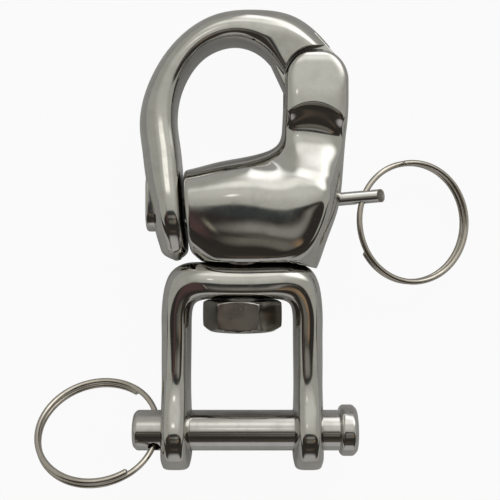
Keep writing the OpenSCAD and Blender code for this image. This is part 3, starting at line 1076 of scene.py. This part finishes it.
@dataclass
class BodyCasting(Piece):
    """Domed barrel on a round foot, with a post that ends in two hinge cheeks.

    Attributes:
        line: Axis of the plunger.
        foot_y: Height of the foot's face.
        depth: Depth of the barrel.
        block_h: Height of the latch face.
        foot_r: Radius of the foot.
        hinge_x: Sideways place of the hinge.
        hinge_up: Height of the hinge above the foot.
        cheek_r: Radius of the cheeks.
        cheek_depth: Depth over the cheeks.
        cheek_lean: Slope by which the cheeks lean back towards their tops.
        neck_depth: Depth of the post at its neck.
        skirt_drop: Drop of the skirt outside the fork's shoulders.
        skirt_low: How far the skirt reaches down past the foot's face, to shut the gap to the fork.
        foot_low: How far the foot reaches down past its face.
        slot_t: Width of the slot for the tongue.
        slot_r: Reach of the slot from the hinge.
        bore_r: Radius of the plunger's bore.
        bore_end: Place of the bore's end.
        stem_r: Radius of the hole for the stem.
        pin_r: Radius of the hinge pin.
        pin_front: Reach of the hinge pin's hole to the front.
        bolt_r: Radius of the hole for the swivel bolt.
        bolt_top: Height of that hole's end.
        edge: Rounding of the latch face's edge.
    """

    line: PlungerLine = field(default_factory=PlungerLine)
    foot_y: float = 32.0
    depth: float = 17.6
    block_h: float = 17.0
    foot_r: float = 7.4
    hinge_x: float = 13.8
    hinge_up: float = 33.4
    cheek_r: float = 5.95
    cheek_depth: float = 11.6
    cheek_lean: float = 0.13
    neck_depth: float = 8.0
    skirt_drop: float = 1.6
    skirt_low: float = 0.18
    foot_low: float = 0.15
    slot_t: float = 6.4
    slot_r: float = 7.6
    bore_r: float = 2.55
    bore_end: float = 14.15
    stem_r: float = 1.3
    pin_r: float = 2.0
    pin_front: float = 4.9
    bolt_r: float = 4.0
    bolt_top: float = 38.3
    edge: float = 0.7

    @property
    def hinge_y(self) -> float:
        """Height of the hinge."""
        return self.foot_y + self.hinge_up

    def half_depth(self, x: Points, y: Points) -> Points:
        """Give half the depth at points of the front view.

        It is the neck's, plus a dome, plus a rise towards the cheeks, less a slope up the cheeks.
        The dome fades outside a superellipse about the barrel. Along its whole upper edge it falls
        in one S-curve from its crest to the neck, wholly on the post's side and in part on the
        other, and a shallow valley runs round it there. The cheeks' foot is an arch: its rise is
        shorter away from the hinge.

        Args:
            x: Sideways places.
            y: Heights.

        Returns:
            Half depths.
        """
        crest = self.line.height + 0.6
        post_from, post_over = 0.05 * self.hinge_x, 0.62 * self.hinge_x
        post = step((x - post_from) / post_over)
        half_w, half_h, underside = self.hinge_x + 4.2, 0.56 * self.block_h, 0.75
        across = np.abs(x) / half_w
        up = np.maximum((1 - post) * (y - crest), underside * (crest - y)) / half_h
        squareness, fade_end, fade = 2.5, 1.3, 0.5
        from_middle = (across**squareness + up**squareness) ** (1 / squareness)
        inside = step((fade_end - from_middle) / fade)
        beside = x - self.hinge_x
        neck_y = self.hinge_y - 1.72 * self.cheek_r - 0.15 * beside
        fall_y, fall_power = crest - 1.6, 1.25
        fall = step(np.clip((y - fall_y) / (neck_y - fall_y), 0, 1) ** fall_power)
        cap_w, cap_h = self.hinge_x + 3.7, 0.4 * self.block_h
        cap = np.hypot(x / cap_w, np.maximum(y - crest, 0) / cap_h)
        valley_depth, valley_from, valley_w = 0.1, 0.85, 0.3
        valley = valley_depth * post * step((cap - valley_from) / valley_w)
        fall_beside_post = 0.45
        fallen = (fall_beside_post + (1 - fall_beside_post) * post) * fall
        neck = self.neck_depth / 2
        dome = (self.depth / 2 - neck) * inside * (1 - fallen) * (1 - valley)
        arch_bend, arch_most, rise_power = 0.09, 0.35 * self.cheek_r, 1.3
        arch = np.minimum(arch_bend * beside**2, arch_most)
        rise = step(np.clip((y - neck_y) / (self.cheek_r - arch), 0, 1) ** rise_power)
        back = soft_floor(y - self.hinge_y + 0.6 * self.cheek_r - 1, 0.0, 0.6)
        return neck + dome + (self.cheek_depth / 2 - neck) * rise - self.cheek_lean * back

    def rows(self) -> Points:
        """Give the rows from beyond the latch face, through the barrel, to the post's cheeks.

        Right ends follow the underside and the outer edge, left ends the bail's floor and the
        post's inner edge. Above the hinge the cheeks close in a half circle.

        Returns:
            Rows of right point, left point, ridge and share of the half depth.
        """
        latch, hx, hy = self.line.latch_face, self.hinge_x, self.hinge_y
        low, top, r = self.foot_y, self.foot_y + self.block_h, self.cheek_r
        rows = np.array([
            [-latch - 2.6, low + 4.6, -latch - 5, top - 0.7, 0.5, 0.86],
            [-latch + 1.2, low + 1.1, -latch - 0.4, top, 0.45, 0.92],
            [-0.3 * latch, low - 2.8, -0.5 * latch, top + 1.4, 0.39, 0.98],
            [0.36 * hx, low - 3.4, 0.04 * hx, top + 2.5, 0.39, 1],
            [hx - 1.3, low - 3.6, hx - r - 3.2, top + 3.6, 0.4, 0.98],
            [hx + 0.31 * r, low + 3.2, hx - 1.2 * r, top + 4.9, 0.42, 0.98],
            [hx + 0.69 * r, low + 9.6, hx - 1.08 * r, top + 6.5, 0.46, 1],
            [hx + 0.86 * r, top, hx - 1.04 * r, top + 8.6, 0.5, 1],
            [hx + 0.97 * r, hy - 8.2, hx - 1.01 * r, hy - 5, 0.5, 1],
            [hx + r, hy, hx - r, hy, 0.5, 1]])
        body = spline(rows, per_span=30, end_slope=np.array([0, 1, 0, 1, 0, 0]))
        angle = np.radians(np.linspace(0, 89, 60)[1:])
        close, rise = r * np.cos(angle), hy + r * np.sin(angle)
        power = 5.0
        share = (1 - np.sin(angle) ** power) ** (1 / power)
        ridge = np.full_like(angle, 0.5)
        cheeks = np.stack([hx + close, rise, hx - close, rise, ridge, share], axis=1)
        return np.concatenate([body, cheeks])

    def slot_rings(self) -> Points:
        """Shape the tongue's slot: a disc about the hinge that flares near the cheeks' outline.

        Half its width rises by an S-curve of the distance from the hinge, and below the hinge of
        the sideways distance alone.

        Returns:
            Rings from the middle of the front face round to that of the back.
        """
        share = np.linspace(0.02, 1, 90)
        angle = around(180)
        x = self.slot_r * share[:, None] * np.cos(angle)
        y = self.slot_r * share[:, None] * np.sin(angle)
        out = np.where(y > 0, np.hypot(x, y), np.abs(x))
        flare, flare_in, flare_w = 0.45, 0.55, 0.6
        half = self.slot_t / 2 + flare * step((out - self.cheek_r + flare_in) / flare_w)
        front = np.stack([x + self.hinge_x, y + self.hinge_y, half], axis=2)
        return np.concatenate([front, front[::-1] * np.array([1, 1, -1])])

    def build(self) -> bpy.types.Object:
        """Sweep the casting, add its foot, and cut its bores and slot.

        Its sections are superellipses whose power rises towards the cheeks, each as deep as
        half_depth says. A soft floor flattens the underside and slopes down outside the foot, and
        the latch face cuts the barrel's end.

        Returns:
            The body.
        """
        rows = self.rows()
        flat_below, flat_over = 1.95 * self.cheek_r, 1.2 * self.cheek_r
        flat = step((rows[:, [1, 3]] - self.hinge_y + flat_below) / flat_over)
        right_n, right_more, left_n, left_more = 3.2, 2.6, 2.4, 4.2
        grid = sections(
            rows, right_n + right_more * flat[:, 0], left_n + left_more * flat[:, 1], sides=192)
        grid[:, :, 2] *= self.half_depth(grid[:, :, 0], grid[:, :, 1])
        skirt_r = self.foot_r + 3.3
        slope = self.skirt_drop / (self.hinge_x + 1 - skirt_r)
        out = np.hypot(grid[:, :, 0], grid[:, :, 2])
        floor = self.foot_y - self.skirt_low - slope * np.maximum(out - skirt_r, 0)
        grid[:, :, 1] = soft_floor(grid[:, :, 1], floor, 0.12)
        face = -self.line.latch_face
        rings = trimmed(grid, self.line.along(grid) - face, lambda points: points, self.edge)
        piece = solid(self.name, rings)
        hub, bevel, foot_h = 0.5, 0.5, 4
        foot = rounded([(0, hub), (0, self.foot_r - bevel), (bevel, self.foot_r),
                        (foot_h, self.foot_r), (foot_h, hub)], 0.4)
        carve(piece, turned(foot, (0, self.foot_y - self.foot_low, 0), (0, 1, 0)), Carve.ADD)
        mouth, beyond, ledge = 0.3, 2, 0.01
        drill(piece, [(face - beyond, self.bore_r + mouth), (face, self.bore_r + mouth),
                      (face + mouth, self.bore_r), (self.bore_end, self.bore_r),
                      (self.bore_end + ledge, self.stem_r), (2 * self.bore_end, self.stem_r)],
              self.line.origin, self.line.way, sides=96)
        drill(piece, [(self.foot_y - beyond, self.bolt_r), (self.bolt_top, self.bolt_r)],
              (0, 0, 0), (0, 1, 0))
        carve(piece, self.slot_rings(), Carve.CUT)
        pin_r = self.pin_r + 0.02
        drill(piece, [(-self.cheek_depth, pin_r), (self.pin_front, pin_r)],
              (self.hinge_x, self.hinge_y, 0), (0, 0, 1), sides=64)
        return piece


@dataclass
class Gate(Piece):
    """Hinged bail: a curved arm with a tongue at the hinge and a latch block at its free end.

    Attributes:
        body: Casting that it is hinged to.
        bail_w: Clear width of the bail.
        arch_rise: Rise of the bail's inner top above the hinge.
        arm_w: Width of the arm.
        arm_depth: Depth of the arm.
        tongue_t: Thickness of the tongue.
        step_t: Thickness of the arm's end where it steps down beside the cheeks.
        shoulder_r: Radius about the hinge to which the tongue spreads.
        hollow_gap: Gap between the cheeks and the arm's hollow end.
        facet_slope: Slope of the facet beside the cheeks.
        opening: Angle by which it opens, in degrees.
        pad_h: Height of the pad on the outer side.
        pad_depth: Depth of that pad.
        pad_out: How far the pad stands out past the arm.
        pad_up: Height of the pad's middle above the plunger's axis.
        socket_r: Radius of the plunger's socket.
        socket_end: Depth of that socket from the swivel axis.
        vent_r: Radius of the vent behind the socket.
        pin_r: Radius of the hinge bore.
    """

    body: BodyCasting | None = None
    bail_w: float = 20.2
    arch_rise: float = 7.3
    arm_w: float = 6.8
    arm_depth: float = 11.0
    tongue_t: float = 6.0
    step_t: float = 8.6
    shoulder_r: float = 8.6
    hollow_gap: float = 0.22
    facet_slope: float = 0.08
    opening: float = 100.0
    pad_h: float = 11.4
    pad_depth: float = 6.6
    pad_out: float = 0.95
    pad_up: float = 1.2
    socket_r: float = 2.65
    socket_end: float = 13.55
    vent_r: float = 0.95
    pin_r: float = 2.05

    def rows(self) -> Points:
        """Give the rows from the hinge round the bail and down to the latch block's tip.

        The arm's rows give an inner point as shares of the bail, a way across to the outer one as
        shares of the arm's width, the ridge, a share of the depth and a power. The block's rows
        give a share of the latch face's height, the outer and inner place from that face, a share
        of the depth and a power, and follow the face a seam away.

        Returns:
            Rows of outer point, inner point, ridge, half depth and inner section power.
        """
        body, line = self.body, self.body.line
        left = body.hinge_x - body.cheek_r - self.bail_w
        arm = np.array([
            [0.784, 0.03, 1.25, 0.95, 0.42, 0.97, 4.2], [0.715, 0.36, 1.11, 1.04, 0.40, 0.96, 3.8],
            [0.623, 0.73, 0.8, 1.08, 0.37, 0.95, 3.4], [0.489, 0.985, 0.37, 0.96, 0.36, 0.94, 3.2],
            [0.34, 0.985, -0.15, 0.85, 0.36, 0.94, 3.2], [0.195, 0.73, -0.53, 0.6, 0.37, 0.94, 3.3],
            [0.08, 0.22, -0.8, 0.3, 0.4, 0.94, 3.6], [0.015, -0.38, -0.95, 0.06, 0.42, 0.94, 4],
            [0, -1.04, -1.02, -0.03, 0.42, 0.97, 4.2]])
        x = left + arm[:, 0] * (body.hinge_x - left)
        y = body.hinge_y + arm[:, 1] * self.arch_rise
        half = self.arm_depth / 2
        bail = np.stack([x + arm[:, 2] * self.arm_w, y + arm[:, 3] * self.arm_w, x, y,
                         arm[:, 4], arm[:, 5] * half, arm[:, 6]], axis=1)
        block = np.array([
            [1.22, -1.12, 0.02, 1.05, 4.6], [0.88, -1.08, 0.02, 1.17, 4.8],
            [0.56, -0.98, 0.02, 1.27, 4.6], [0.3, -0.94, 0.02, 1.15, 4.0],
            [0.14, -0.86, -0.05, 0.84, 3.2], [0.045, -0.71, -0.6, 0.54, 2.6],
            [0.005, -0.5, -1.5, 0.27, 2.4]])
        up = body.foot_y + block[:, 0] * body.block_h
        wall = line.face_x(up) - line.seam / cos(radians(line.tilt))
        ridge = np.full_like(up, 0.42)
        latch = np.stack([wall + line.seam + block[:, 1] * self.arm_w, up, wall + block[:, 2],
                          up + 0.02 * body.block_h, ridge, block[:, 3] * half, block[:, 4]], axis=1)
        return np.concatenate([bail, latch])

    def tongue_rings(self) -> Points:
        """Shape the tongue: a disc about the hinge that widens along two tangents into the arm.

        Returns:
            Rings from the tongue's front face to its back.
        """
        body = self.body
        r, s = body.cheek_r - 0.05, self.shoulder_r
        outer, inner = np.array([-0.15, s + 0.4]), np.array([-s + 0.4, 0.42 * s])

        def touch(point: Points, turn: float) -> float:
            """Give the angle where a tangent from a point touches the disc."""
            return np.arctan2(point[1], point[0]) + turn * np.arccos(r / np.linalg.norm(point))

        start, stop = touch(inner, 1.0), touch(outer, -1.0) + 2 * np.pi
        arc = np.linspace(start, stop, 60)
        corners = np.concatenate([
            np.stack([r * np.cos(arc), r * np.sin(arc)], axis=1),
            [outer, [-0.55 * s, s + 0.9], [-s - 0.4, 0.65 * s], inner]])
        loop = np.concatenate([corners, corners[:1]])
        length = lengths_along(loop)
        places = np.linspace(0, length[-1], 240, endpoint=False)
        outline = np.stack([np.interp(places, length, side) for side in loop.T], axis=1)
        rings = slab(outline, np.zeros(2), -self.tongue_t / 2, self.tongue_t / 2, rim=0.3)
        return rings + np.array([body.hinge_x, body.hinge_y, 0])

    def pad_rings(self) -> Points:
        """Shape the outer pad: a stadium, two half circles joined by straight sides, with a round rim.

        Returns:
            Rings from the pad's outer face into the arm.
        """
        line = self.body.line
        angle = around(120)
        end = (self.pad_h - self.pad_depth) / 2
        r = self.pad_depth / 2
        across, up = r * np.cos(angle), r * np.sin(angle) + end * np.sign(np.sin(angle))
        out, middle = line.latch_face + self.arm_w + self.pad_out, line.height + self.pad_up
        outline = np.stack([across, up], axis=1)
        rings = slab(outline, np.zeros(2), out - self.arm_w / 2, out, rim=0.55)
        return np.stack([-rings[:, :, 2], middle + rings[:, :, 1], rings[:, :, 0]], axis=2)

    def build(self) -> bpy.types.Object:
        """Sweep the arm from its hollow shoulder to its tip, add tongue and pad, and bore it.

        Its sections are superellipses. Points past the seam slide back along the plunger's axis
        until they lie on it. Beside the cheeks a soft ceiling steps the arm down to a sloping facet,
        and the arm starts on a cylinder about the hinge.

        Returns:
            The gate.
        """
        body, line = self.body, self.body.line
        rows = spline(self.rows(), per_span=26)
        grid = sections(rows, right_n=2.1, left_n=rows[:, 6:7], sides=168)
        beyond = line.along(grid) + line.latch_face + line.seam
        block_below, block_blend = body.hinge_y - 5, 8
        block = step((block_below - grid[:, :, 1]) / block_blend)
        pushed = -soft_floor(-beyond, 0.0, 0.04)
        grid += ((pushed - beyond) * block)[:, :, None] * line.way
        hinge = np.array([body.hinge_x, body.hinge_y])
        hollow_r = body.cheek_r + self.hollow_gap
        arm = grid[:, :, :2] - hinge
        facet_way, facet_rise, facet_low = np.array([-0.525, 0.85]), 0.4, -0.3
        facet = np.maximum(self.facet_slope * (arm @ facet_way - hollow_r), facet_low)
        step_end = 1.6 * self.shoulder_r
        beyond_step = np.linalg.norm(arm, axis=2) - step_end
        ceiling = self.step_t / 2 + facet_rise + facet + soft_floor(beyond_step, 0, 1)
        depth = np.abs(grid[:, :, 2])
        grid[:, :, 2] = np.sign(grid[:, :, 2]) * -soft_floor(-depth, -ceiling, 0.12)
        turn = radians(self.opening)

        def reach(arm: Points) -> Points:
            """Give how far points lie from the hinge, on the hollow's open side along one way alone.

            Args:
                arm: Points in the front view, measured from the hinge.

            Returns:
                Distances that equal the hollow's radius on the hollow.
            """
            forward = arm @ np.array([cos(turn), sin(turn)])
            beside = arm @ np.array([sin(turn), -cos(turn)])
            return np.where(beside > 0, forward, np.linalg.norm(arm, axis=-1))

        def onto(points: Points) -> Points:
            """Lay points onto the hollow, straight towards or away from the hinge.

            Args:
                points: Points near the hollow.

            Returns:
                The same points on the hollow, each at its own depth.
            """
            arm = points[..., :2] - hinge
            grown = hollow_r / reach(arm)
            return np.concatenate([hinge + arm * grown[..., None], points[..., 2:]], axis=-1)

        edge, tip_rise = 0.18, 0.25
        rings = trimmed(grid, reach(arm) - hollow_r, onto, edge)
        tip = unit(rings[-1].mean(axis=0) - rings[-4].mean(axis=0))
        piece = solid(self.name, np.concatenate([rings, domed(rings[-1], tip, tip_rise)]))
        carve(piece, self.tongue_rings(), Carve.ADD)
        carve(piece, self.pad_rings(), Carve.ADD)
        face, mouth, ledge = -line.latch_face - line.seam, 0.35, 0.01
        drill(piece, [(face + 3, self.socket_r + mouth), (face, self.socket_r + mouth),
                      (face - mouth, self.socket_r), (-self.socket_end, self.socket_r),
                      (-self.socket_end - ledge, self.vent_r), (-2 * line.latch_face, self.vent_r)],
              line.origin, line.way, sides=96)
        drill(piece, both_ways([(self.tongue_t, self.pin_r)]), (*hinge, 0), (0, 0, 1), sides=64)
        return piece


@dataclass
class HingePin(Piece):
    """Plain pin of the gate's hinge, pressed in from the back.

    Attributes:
        body: Casting that holds it.
        back: Reach to the back.
    """

    body: BodyCasting | None = None
    back: float = 5.6

    def build(self) -> bpy.types.Object:
        """Turn the pin, with a small bevel at each end.

        Returns:
            The pin.
        """
        body, r, front = self.body, self.body.pin_r, self.body.pin_front
        hub, back_bevel, front_bevel = 0.2, 0.3, 0.2
        outline = rounded([
            (-self.back, hub), (-self.back, r - back_bevel), (-self.back + back_bevel, r),
            (front - front_bevel, r), (front, r - front_bevel), (front, hub)], 0.15)
        axis = (body.hinge_x, body.hinge_y, 0)
        return solid(self.name, turned(outline, axis, (0, 0, 1), sides=96))


@dataclass
class Plunger(Piece):
    """Spring plunger: a thick nose, a thin stem with a slanting end, and a cross hole for its ring.

    Attributes:
        line: Axis of the plunger.
        nose_r: Radius of the nose.
        stem_r: Radius of the stem.
        tip: Place of the nose's end.
        shoulder: Place where the nose steps down to the stem.
        stem_end: Place of the stem's end.
        slant: Slope of the end's cut, in degrees.
        hole_at: Place of the cross hole.
        hole_r: Radius of the cross hole.
        mouth: Width of the bevel at the hole's mouths.
        hole_way: Direction of the cross hole.
    """

    line: PlungerLine = field(default_factory=PlungerLine)
    nose_r: float = 2.5
    stem_r: float = 1.25
    tip: float = -10.05
    shoulder: float = 7.45
    stem_end: float = 27.3
    slant: float = 38.0
    hole_at: float = 23.0
    hole_r: float = 0.7
    mouth: float = 0.2
    hole_way: Points = field(default_factory=lambda: np.array([0.0, 1.0, 0.0]))

    def build(self) -> bpy.types.Object:
        """Turn the plunger, cut its end on a slant, and drill it.

        Points past the slanting plane slide back along the axis until they lie on it.

        Returns:
            The plunger.
        """
        hub, bevel = 0.3, 0.6
        outline = rounded([
            (self.tip, hub), (self.tip, self.nose_r - bevel), (self.tip + bevel, self.nose_r),
            (self.shoulder, self.nose_r), (self.shoulder, self.stem_r),
            (self.stem_end - 0.01, self.stem_r), (self.stem_end, 0.02)], 0.2)
        nose = outline[outline[:, 0] < self.shoulder + 0.5]
        end = outline[outline[:, 0] > self.stem_end - 0.25]
        places = np.linspace(self.shoulder + 1, self.stem_end - 0.3, 160)
        stem = np.stack([places, np.full_like(places, self.stem_r)], axis=1)
        profile = np.concatenate([nose, stem, end])
        rings = turned(profile, self.line.origin, self.line.way, sides=96)
        along = self.line.along(rings)
        above = rings[:, :, 2]
        limit = self.stem_end - (above + self.stem_r) * tan(radians(self.slant))
        pushed = -soft_floor(-along, -limit, 0.05)
        rings = rings + (pushed - along)[:, :, None] * self.line.way
        piece = solid(self.name, rings)
        wide, start = self.hole_r + self.mouth, self.stem_r - 2.5 * self.mouth
        at = self.line.origin + self.hole_at * self.line.way
        hole = both_ways([(start, self.hole_r), (self.stem_r, wide), (3 * self.stem_r, wide)])
        drill(piece, hole, at, self.hole_way, sides=40)
        return piece


@dataclass
class PlungerSpring(Piece):
    """Compression spring round the plunger's stem, inside the barrel.

    Attributes:
        line: Axis of the plunger.
        start: Place of the first coil.
        wire_r: Radius of the wire.
        coil_r: Radius of the coils.
        pitch: Rise of each coil.
        turns: Number of coils.
    """

    line: PlungerLine = field(default_factory=PlungerLine)
    start: float = 7.8
    wire_r: float = 0.25
    coil_r: float = 1.875
    pitch: float = 1.0
    turns: int = 6

    def build(self) -> bpy.types.Object:
        """Sweep the wire along a helix: a circle about the plunger's axis that rises with its angle.

        Returns:
            The spring.
        """
        angle = np.linspace(0, 2 * np.pi * self.turns, 72 * self.turns + 1)
        along, side, other = axes_from(self.line.way)
        spine = self.line.origin + (self.start + self.pitch * angle / (2 * np.pi))[:, None] * along
        path = spine + self.coil_r * circle(angle, side, other)
        return solid(self.name, tube(path, self.wire_r, sides=14))


# Studio


@dataclass(frozen=True)
class Patch:
    """A soft patch of the room, by its angles from straight up.

    Attributes:
        colour: Light that it sends.
        right: Angle of its middle towards +X, in degrees.
        ahead: Angle of its middle towards +Y, in degrees.
        wide: Half its width, in degrees.
        long: Half its length, in degrees.
        soft: Share of its size over which it fades.
        turn: Turn of its width towards +Y, in degrees.
    """

    colour: Colour
    right: float
    ahead: float
    wide: float
    long: float
    soft: float
    turn: float = 0.0

    def over(
        self, nodes: Nodes, right: bpy.types.NodeSocket, ahead: bpy.types.NodeSocket,
        colour: bpy.types.NodeSocket,
    ) -> bpy.types.NodeSocket:
        """Lay the patch over the room: an ellipse in its two angles, soft towards its edge.

        Args:
            nodes: Tree of the room.
            right: Angle of the seen point towards +X, in degrees.
            ahead: Angle of the seen point towards +Y, in degrees.
            colour: Light of the room so far.

        Returns:
            Light of the room with the patch.
        """
        c, s = cos(radians(self.turn)), sin(radians(self.turn))
        x = nodes.math("SUBTRACT", right, self.right)
        y = nodes.math("SUBTRACT", ahead, self.ahead)
        across = nodes.math("MULTIPLY", y, s / self.wide)
        across = nodes.math("MULTIPLY_ADD", x, c / self.wide, across)
        along = nodes.math("MULTIPLY", x, -s / self.long)
        along = nodes.math("MULTIPLY_ADD", y, c / self.long, along)
        away = nodes.math("ADD", nodes.math("MULTIPLY", across, across),
                          nodes.math("MULTIPLY", along, along))
        share = nodes.ramp(nodes.math("SQRT", away), 1 - self.soft, 1.0, 1.0, 0.0)
        return nodes.blend(share, colour, self.colour)


@dataclass
class Studio:
    """Pale floor, soft room and camera.

    Attributes:
        view_w: Width of the view at the origin's height.
        eye: Place of the camera.
        aim: Place that the lamp faces.
        floor_z: Height of the floor.
        paper: Colour of the floor.
        floor_glow: Share of the floor's own light that the camera sees.
        floor_mirrored: Share of that light that the steel mirrors.
        level: Light of the room at the horizon and below.
        overhead: Light of the room above.
        patches: Lighter and darker parts of the room, later ones over earlier ones.
    """

    view_w: float = 94.5
    eye: tuple[float, float, float] = (1.474, 34.02, 150.0)
    aim: tuple[float, float, float] = (0.0, 34.0, 0.0)
    floor_z: float = -9.4
    paper: Colour = (0.50, 0.50, 0.50, 1)
    floor_glow: float = 0.94
    floor_mirrored: float = 0.1
    level: Colour = (0.42, 0.42, 0.42, 1)
    overhead: Colour = (0.43, 0.43, 0.395, 1)
    patches: tuple[Patch, ...] = (
        Patch((0.70, 0.70, 0.66, 1), 4, 40, 48, 44, 0.7),
        Patch((1.12, 1.12, 1.07, 1), 0, 47, 34, 14, 0.8),
        Patch((1.75, 1.75, 1.75, 1), 16, 72, 36, 24, 0.9),
        Patch((1.75, 1.75, 1.72, 1), 42, 54, 38, 26, 0.7, 30),
        Patch((0.035, 0.031, 0.028, 1), 0, -28, 62, 34, 0.12),
        Patch((0.04, 0.036, 0.032, 1), 0, -58, 120, 24, 0.25),
        Patch((0.45, 0.44, 0.44, 1), 0, -82, 62, 27, 0.3),
        Patch((0.09, 0.07, 0.055, 1), 2, -47, 25, 6, 0.8),
        Patch((0.28, 0.27, 0.25, 1), 6, -5.5, 24, 6, 0.8),
        Patch((0.17, 0.16, 0.14, 1), 4, -17, 22, 10, 0.8),
        Patch((0.31, 0.21, 0.13, 1), 17, -15, 10, 6, 0.8, -25),
        Patch((0.09, 0.055, 0.055, 1), -22, -8, 9, 18, 0.6),
        Patch((0.34, 0.31, 0.25, 1), -13, -6, 1.6, 7, 0.9, 15),
        Patch((0.05, 0.045, 0.04, 1), -6, -11, 11, 1.6, 0.9, -20),
        Patch((0.045, 0.050, 0.052, 1), -2, 2.5, 15, 3.2, 0.5),
        Patch((1.5, 1.47, 1.4, 1), -6, 19, 4, 4, 0.9),
    )

    def camera(self) -> None:
        """Look straight down on the part from the photograph's height."""
        data = bpy.data.cameras.new("camera")
        data.sensor_width = 36.0
        data.lens = data.sensor_width * self.eye[2] / self.view_w
        data.clip_start = MM
        camera = put("camera", data)
        camera.location = [value * MM for value in self.eye]
        bpy.context.scene.camera = camera

    def floor(self) -> None:
        """Lay a wide pale floor that shows near white and still takes the part's shadow."""
        half, z = 2000.0, self.floor_z
        corners = np.array([[-half, -half, z], [half, -half, z], [half, half, z], [-half, half, z]])
        mesh = bpy.data.meshes.new("floor")
        mesh.from_pydata((corners * MM).tolist(), [], [[0, 1, 2, 3]])
        floor = put("floor", mesh)
        material = bpy.data.materials.new("pale_floor")
        material.use_nodes = True
        nodes = Nodes(material.node_tree)
        ray = nodes.add("LightPath").outputs
        paper = nodes.add("BsdfDiffuse", Color=self.paper)
        glow = nodes.add("Emission", Color=WHITE, Strength=1.0)
        seen = nodes.math("MULTIPLY", ray["Is Camera Ray"], self.floor_glow)
        shown = nodes.math("MULTIPLY", ray["Is Glossy Ray"], self.floor_mirrored)
        share = nodes.math("ADD", seen, nodes.math("ADD", shown, ray["Is Transmission Ray"]))
        mix = nodes.add("MixShader", Fac=share)
        nodes.feed(mix.inputs[1], paper.outputs[0])
        nodes.feed(mix.inputs[2], glow.outputs[0])
        nodes.end("OutputMaterial", mix.outputs[0])
        mesh.materials.append(material)

    def room(self) -> None:
        """Light the part from a pale grey room with lighter and darker soft patches.

        The camera itself sees white in its place.
        """
        world = bpy.data.worlds.new("room")
        bpy.context.scene.world = world
        world.use_nodes = True
        nodes = Nodes(world.node_tree)
        way = nodes.add("TexCoord").outputs["Generated"]
        x, y, z = nodes.add("SeparateXYZ", Vector=way).outputs
        right = nodes.math("DEGREES", nodes.math("ARCTAN2", x, z))
        ahead = nodes.math("DEGREES", nodes.math("ARCTAN2", y, z))
        horizon, above = 0.0, 0.35
        colour = nodes.blend(nodes.ramp(z, horizon, above), self.level, self.overhead)
        for patch in self.patches:
            colour = patch.over(nodes, right, ahead, colour)
        ray = nodes.add("LightPath").outputs
        seen = nodes.math("ADD", ray["Is Camera Ray"], ray["Is Transmission Ray"])
        colour = nodes.blend(seen, colour, WHITE)
        sky = nodes.add("Background", Color=colour, Strength=1.0)
        nodes.end("OutputWorld", sky.outputs[0])

    def lamp(self, name: str, place: tuple[float, float, float], size: float, power: float) -> None:
        """Hang a square soft lamp that faces the part's middle and shows in no mirror.

        Args:
            name: Name of the lamp.
            place: Place of the lamp.
            size: Length of its sides.
            power: Power, in watts.
        """
        data = bpy.data.lights.new(name, "AREA")
        data.size = size * MM
        data.energy = power
        lamp = put(name, data)
        x, y, z = np.subtract(place, self.aim)
        lamp.location = [value * MM for value in place]
        lamp.rotation_euler = (
            float(np.arctan2(np.hypot(x, y), z)), 0.0, float(np.arctan2(y, x) + np.pi / 2))
        lamp.visible_glossy = False

    def set_up(self) -> None:
        """Set the view, the floor, the room and one soft lamp."""
        bpy.context.scene.view_settings.view_transform = "Standard"
        self.camera()
        self.floor()
        self.room()
        self.lamp("soft_lamp", place=(140.0, 330.0, 320.0), size=160.0, power=0.35)


def shackle() -> list[Piece]:
    """List the pieces in the order that they are put together.

    Returns:
        All pieces, each with its place and finish.
    """
    line = PlungerLine()
    body = BodyCasting("body_casting", "body", "head", Slot.CASTING, MIRROR, line=line)
    pin = ClevisPin("clevis_pin_turned", "clevis_pin", "clevis_pin", Slot.PIN, TURNED)
    droop, tilt, lean = radians(0.5), radians(18), radians(24)
    turn = radians(pin.hole_turn)
    below = np.array([0, -sin(turn), -cos(turn)])
    keep_out = cos(droop) * np.array([-1.0, 0, 0]) + sin(droop) * below
    flat = np.array([cos(tilt), 0, -sin(tilt)])
    upward = np.array([0.0, 1.0, 0.0])
    pull_way = sin(lean) * flat + cos(lean) * upward
    pull_out = cos(lean) * flat - sin(lean) * upward
    plunger = Plunger("plunger_turned", "plunger", "plunger", Slot.PIN, TURNED,
                      line=line, hole_way=pull_way)
    keep_d = 23.5
    return [
        Fork("fork_casting", "jaw", "fork", Slot.CASTING, MIRROR),
        pin,
        SplitRing("clevis_pin_ring", "clevis_ring", "clevis_ring", Slot.WIRE, DRAWN, outer_d=keep_d,
                  hole=np.array([pin.hole_x, 0, 0]), tangent=pin.hole_way, out=keep_out,
                  sag=pin.diameter**2 / (8 * keep_d)),
        SwivelBolt("swivel_bolt_hex", "swivel_bolt", "head", Slot.BOLT, FORGED),
        body,
        HingePin("hinge_pin_plain", "gate_hinge_pin", "head", Slot.PIN, TURNED, body=body),
        Gate("gate_casting", "gate", "gate", Slot.CASTING, MIRROR, body=body),
        plunger,
        PlungerSpring("plunger_coil", "plunger_spring", "head", Slot.WIRE, DRAWN, line=line),
        SplitRing("plunger_pull_ring", "pull_ring", "pull_ring", Slot.WIRE, DRAWN, outer_d=24.0,
                  hole=line.origin + plunger.hole_at * line.way, tangent=pull_way, out=pull_out),
    ]


def main() -> None:
    """Set up the studio and build the shackle."""
    logging.basicConfig(level=logging.INFO)
    Studio().set_up()
    for piece in shackle():
        piece.seat()


if __name__ == "__main__":
    main()
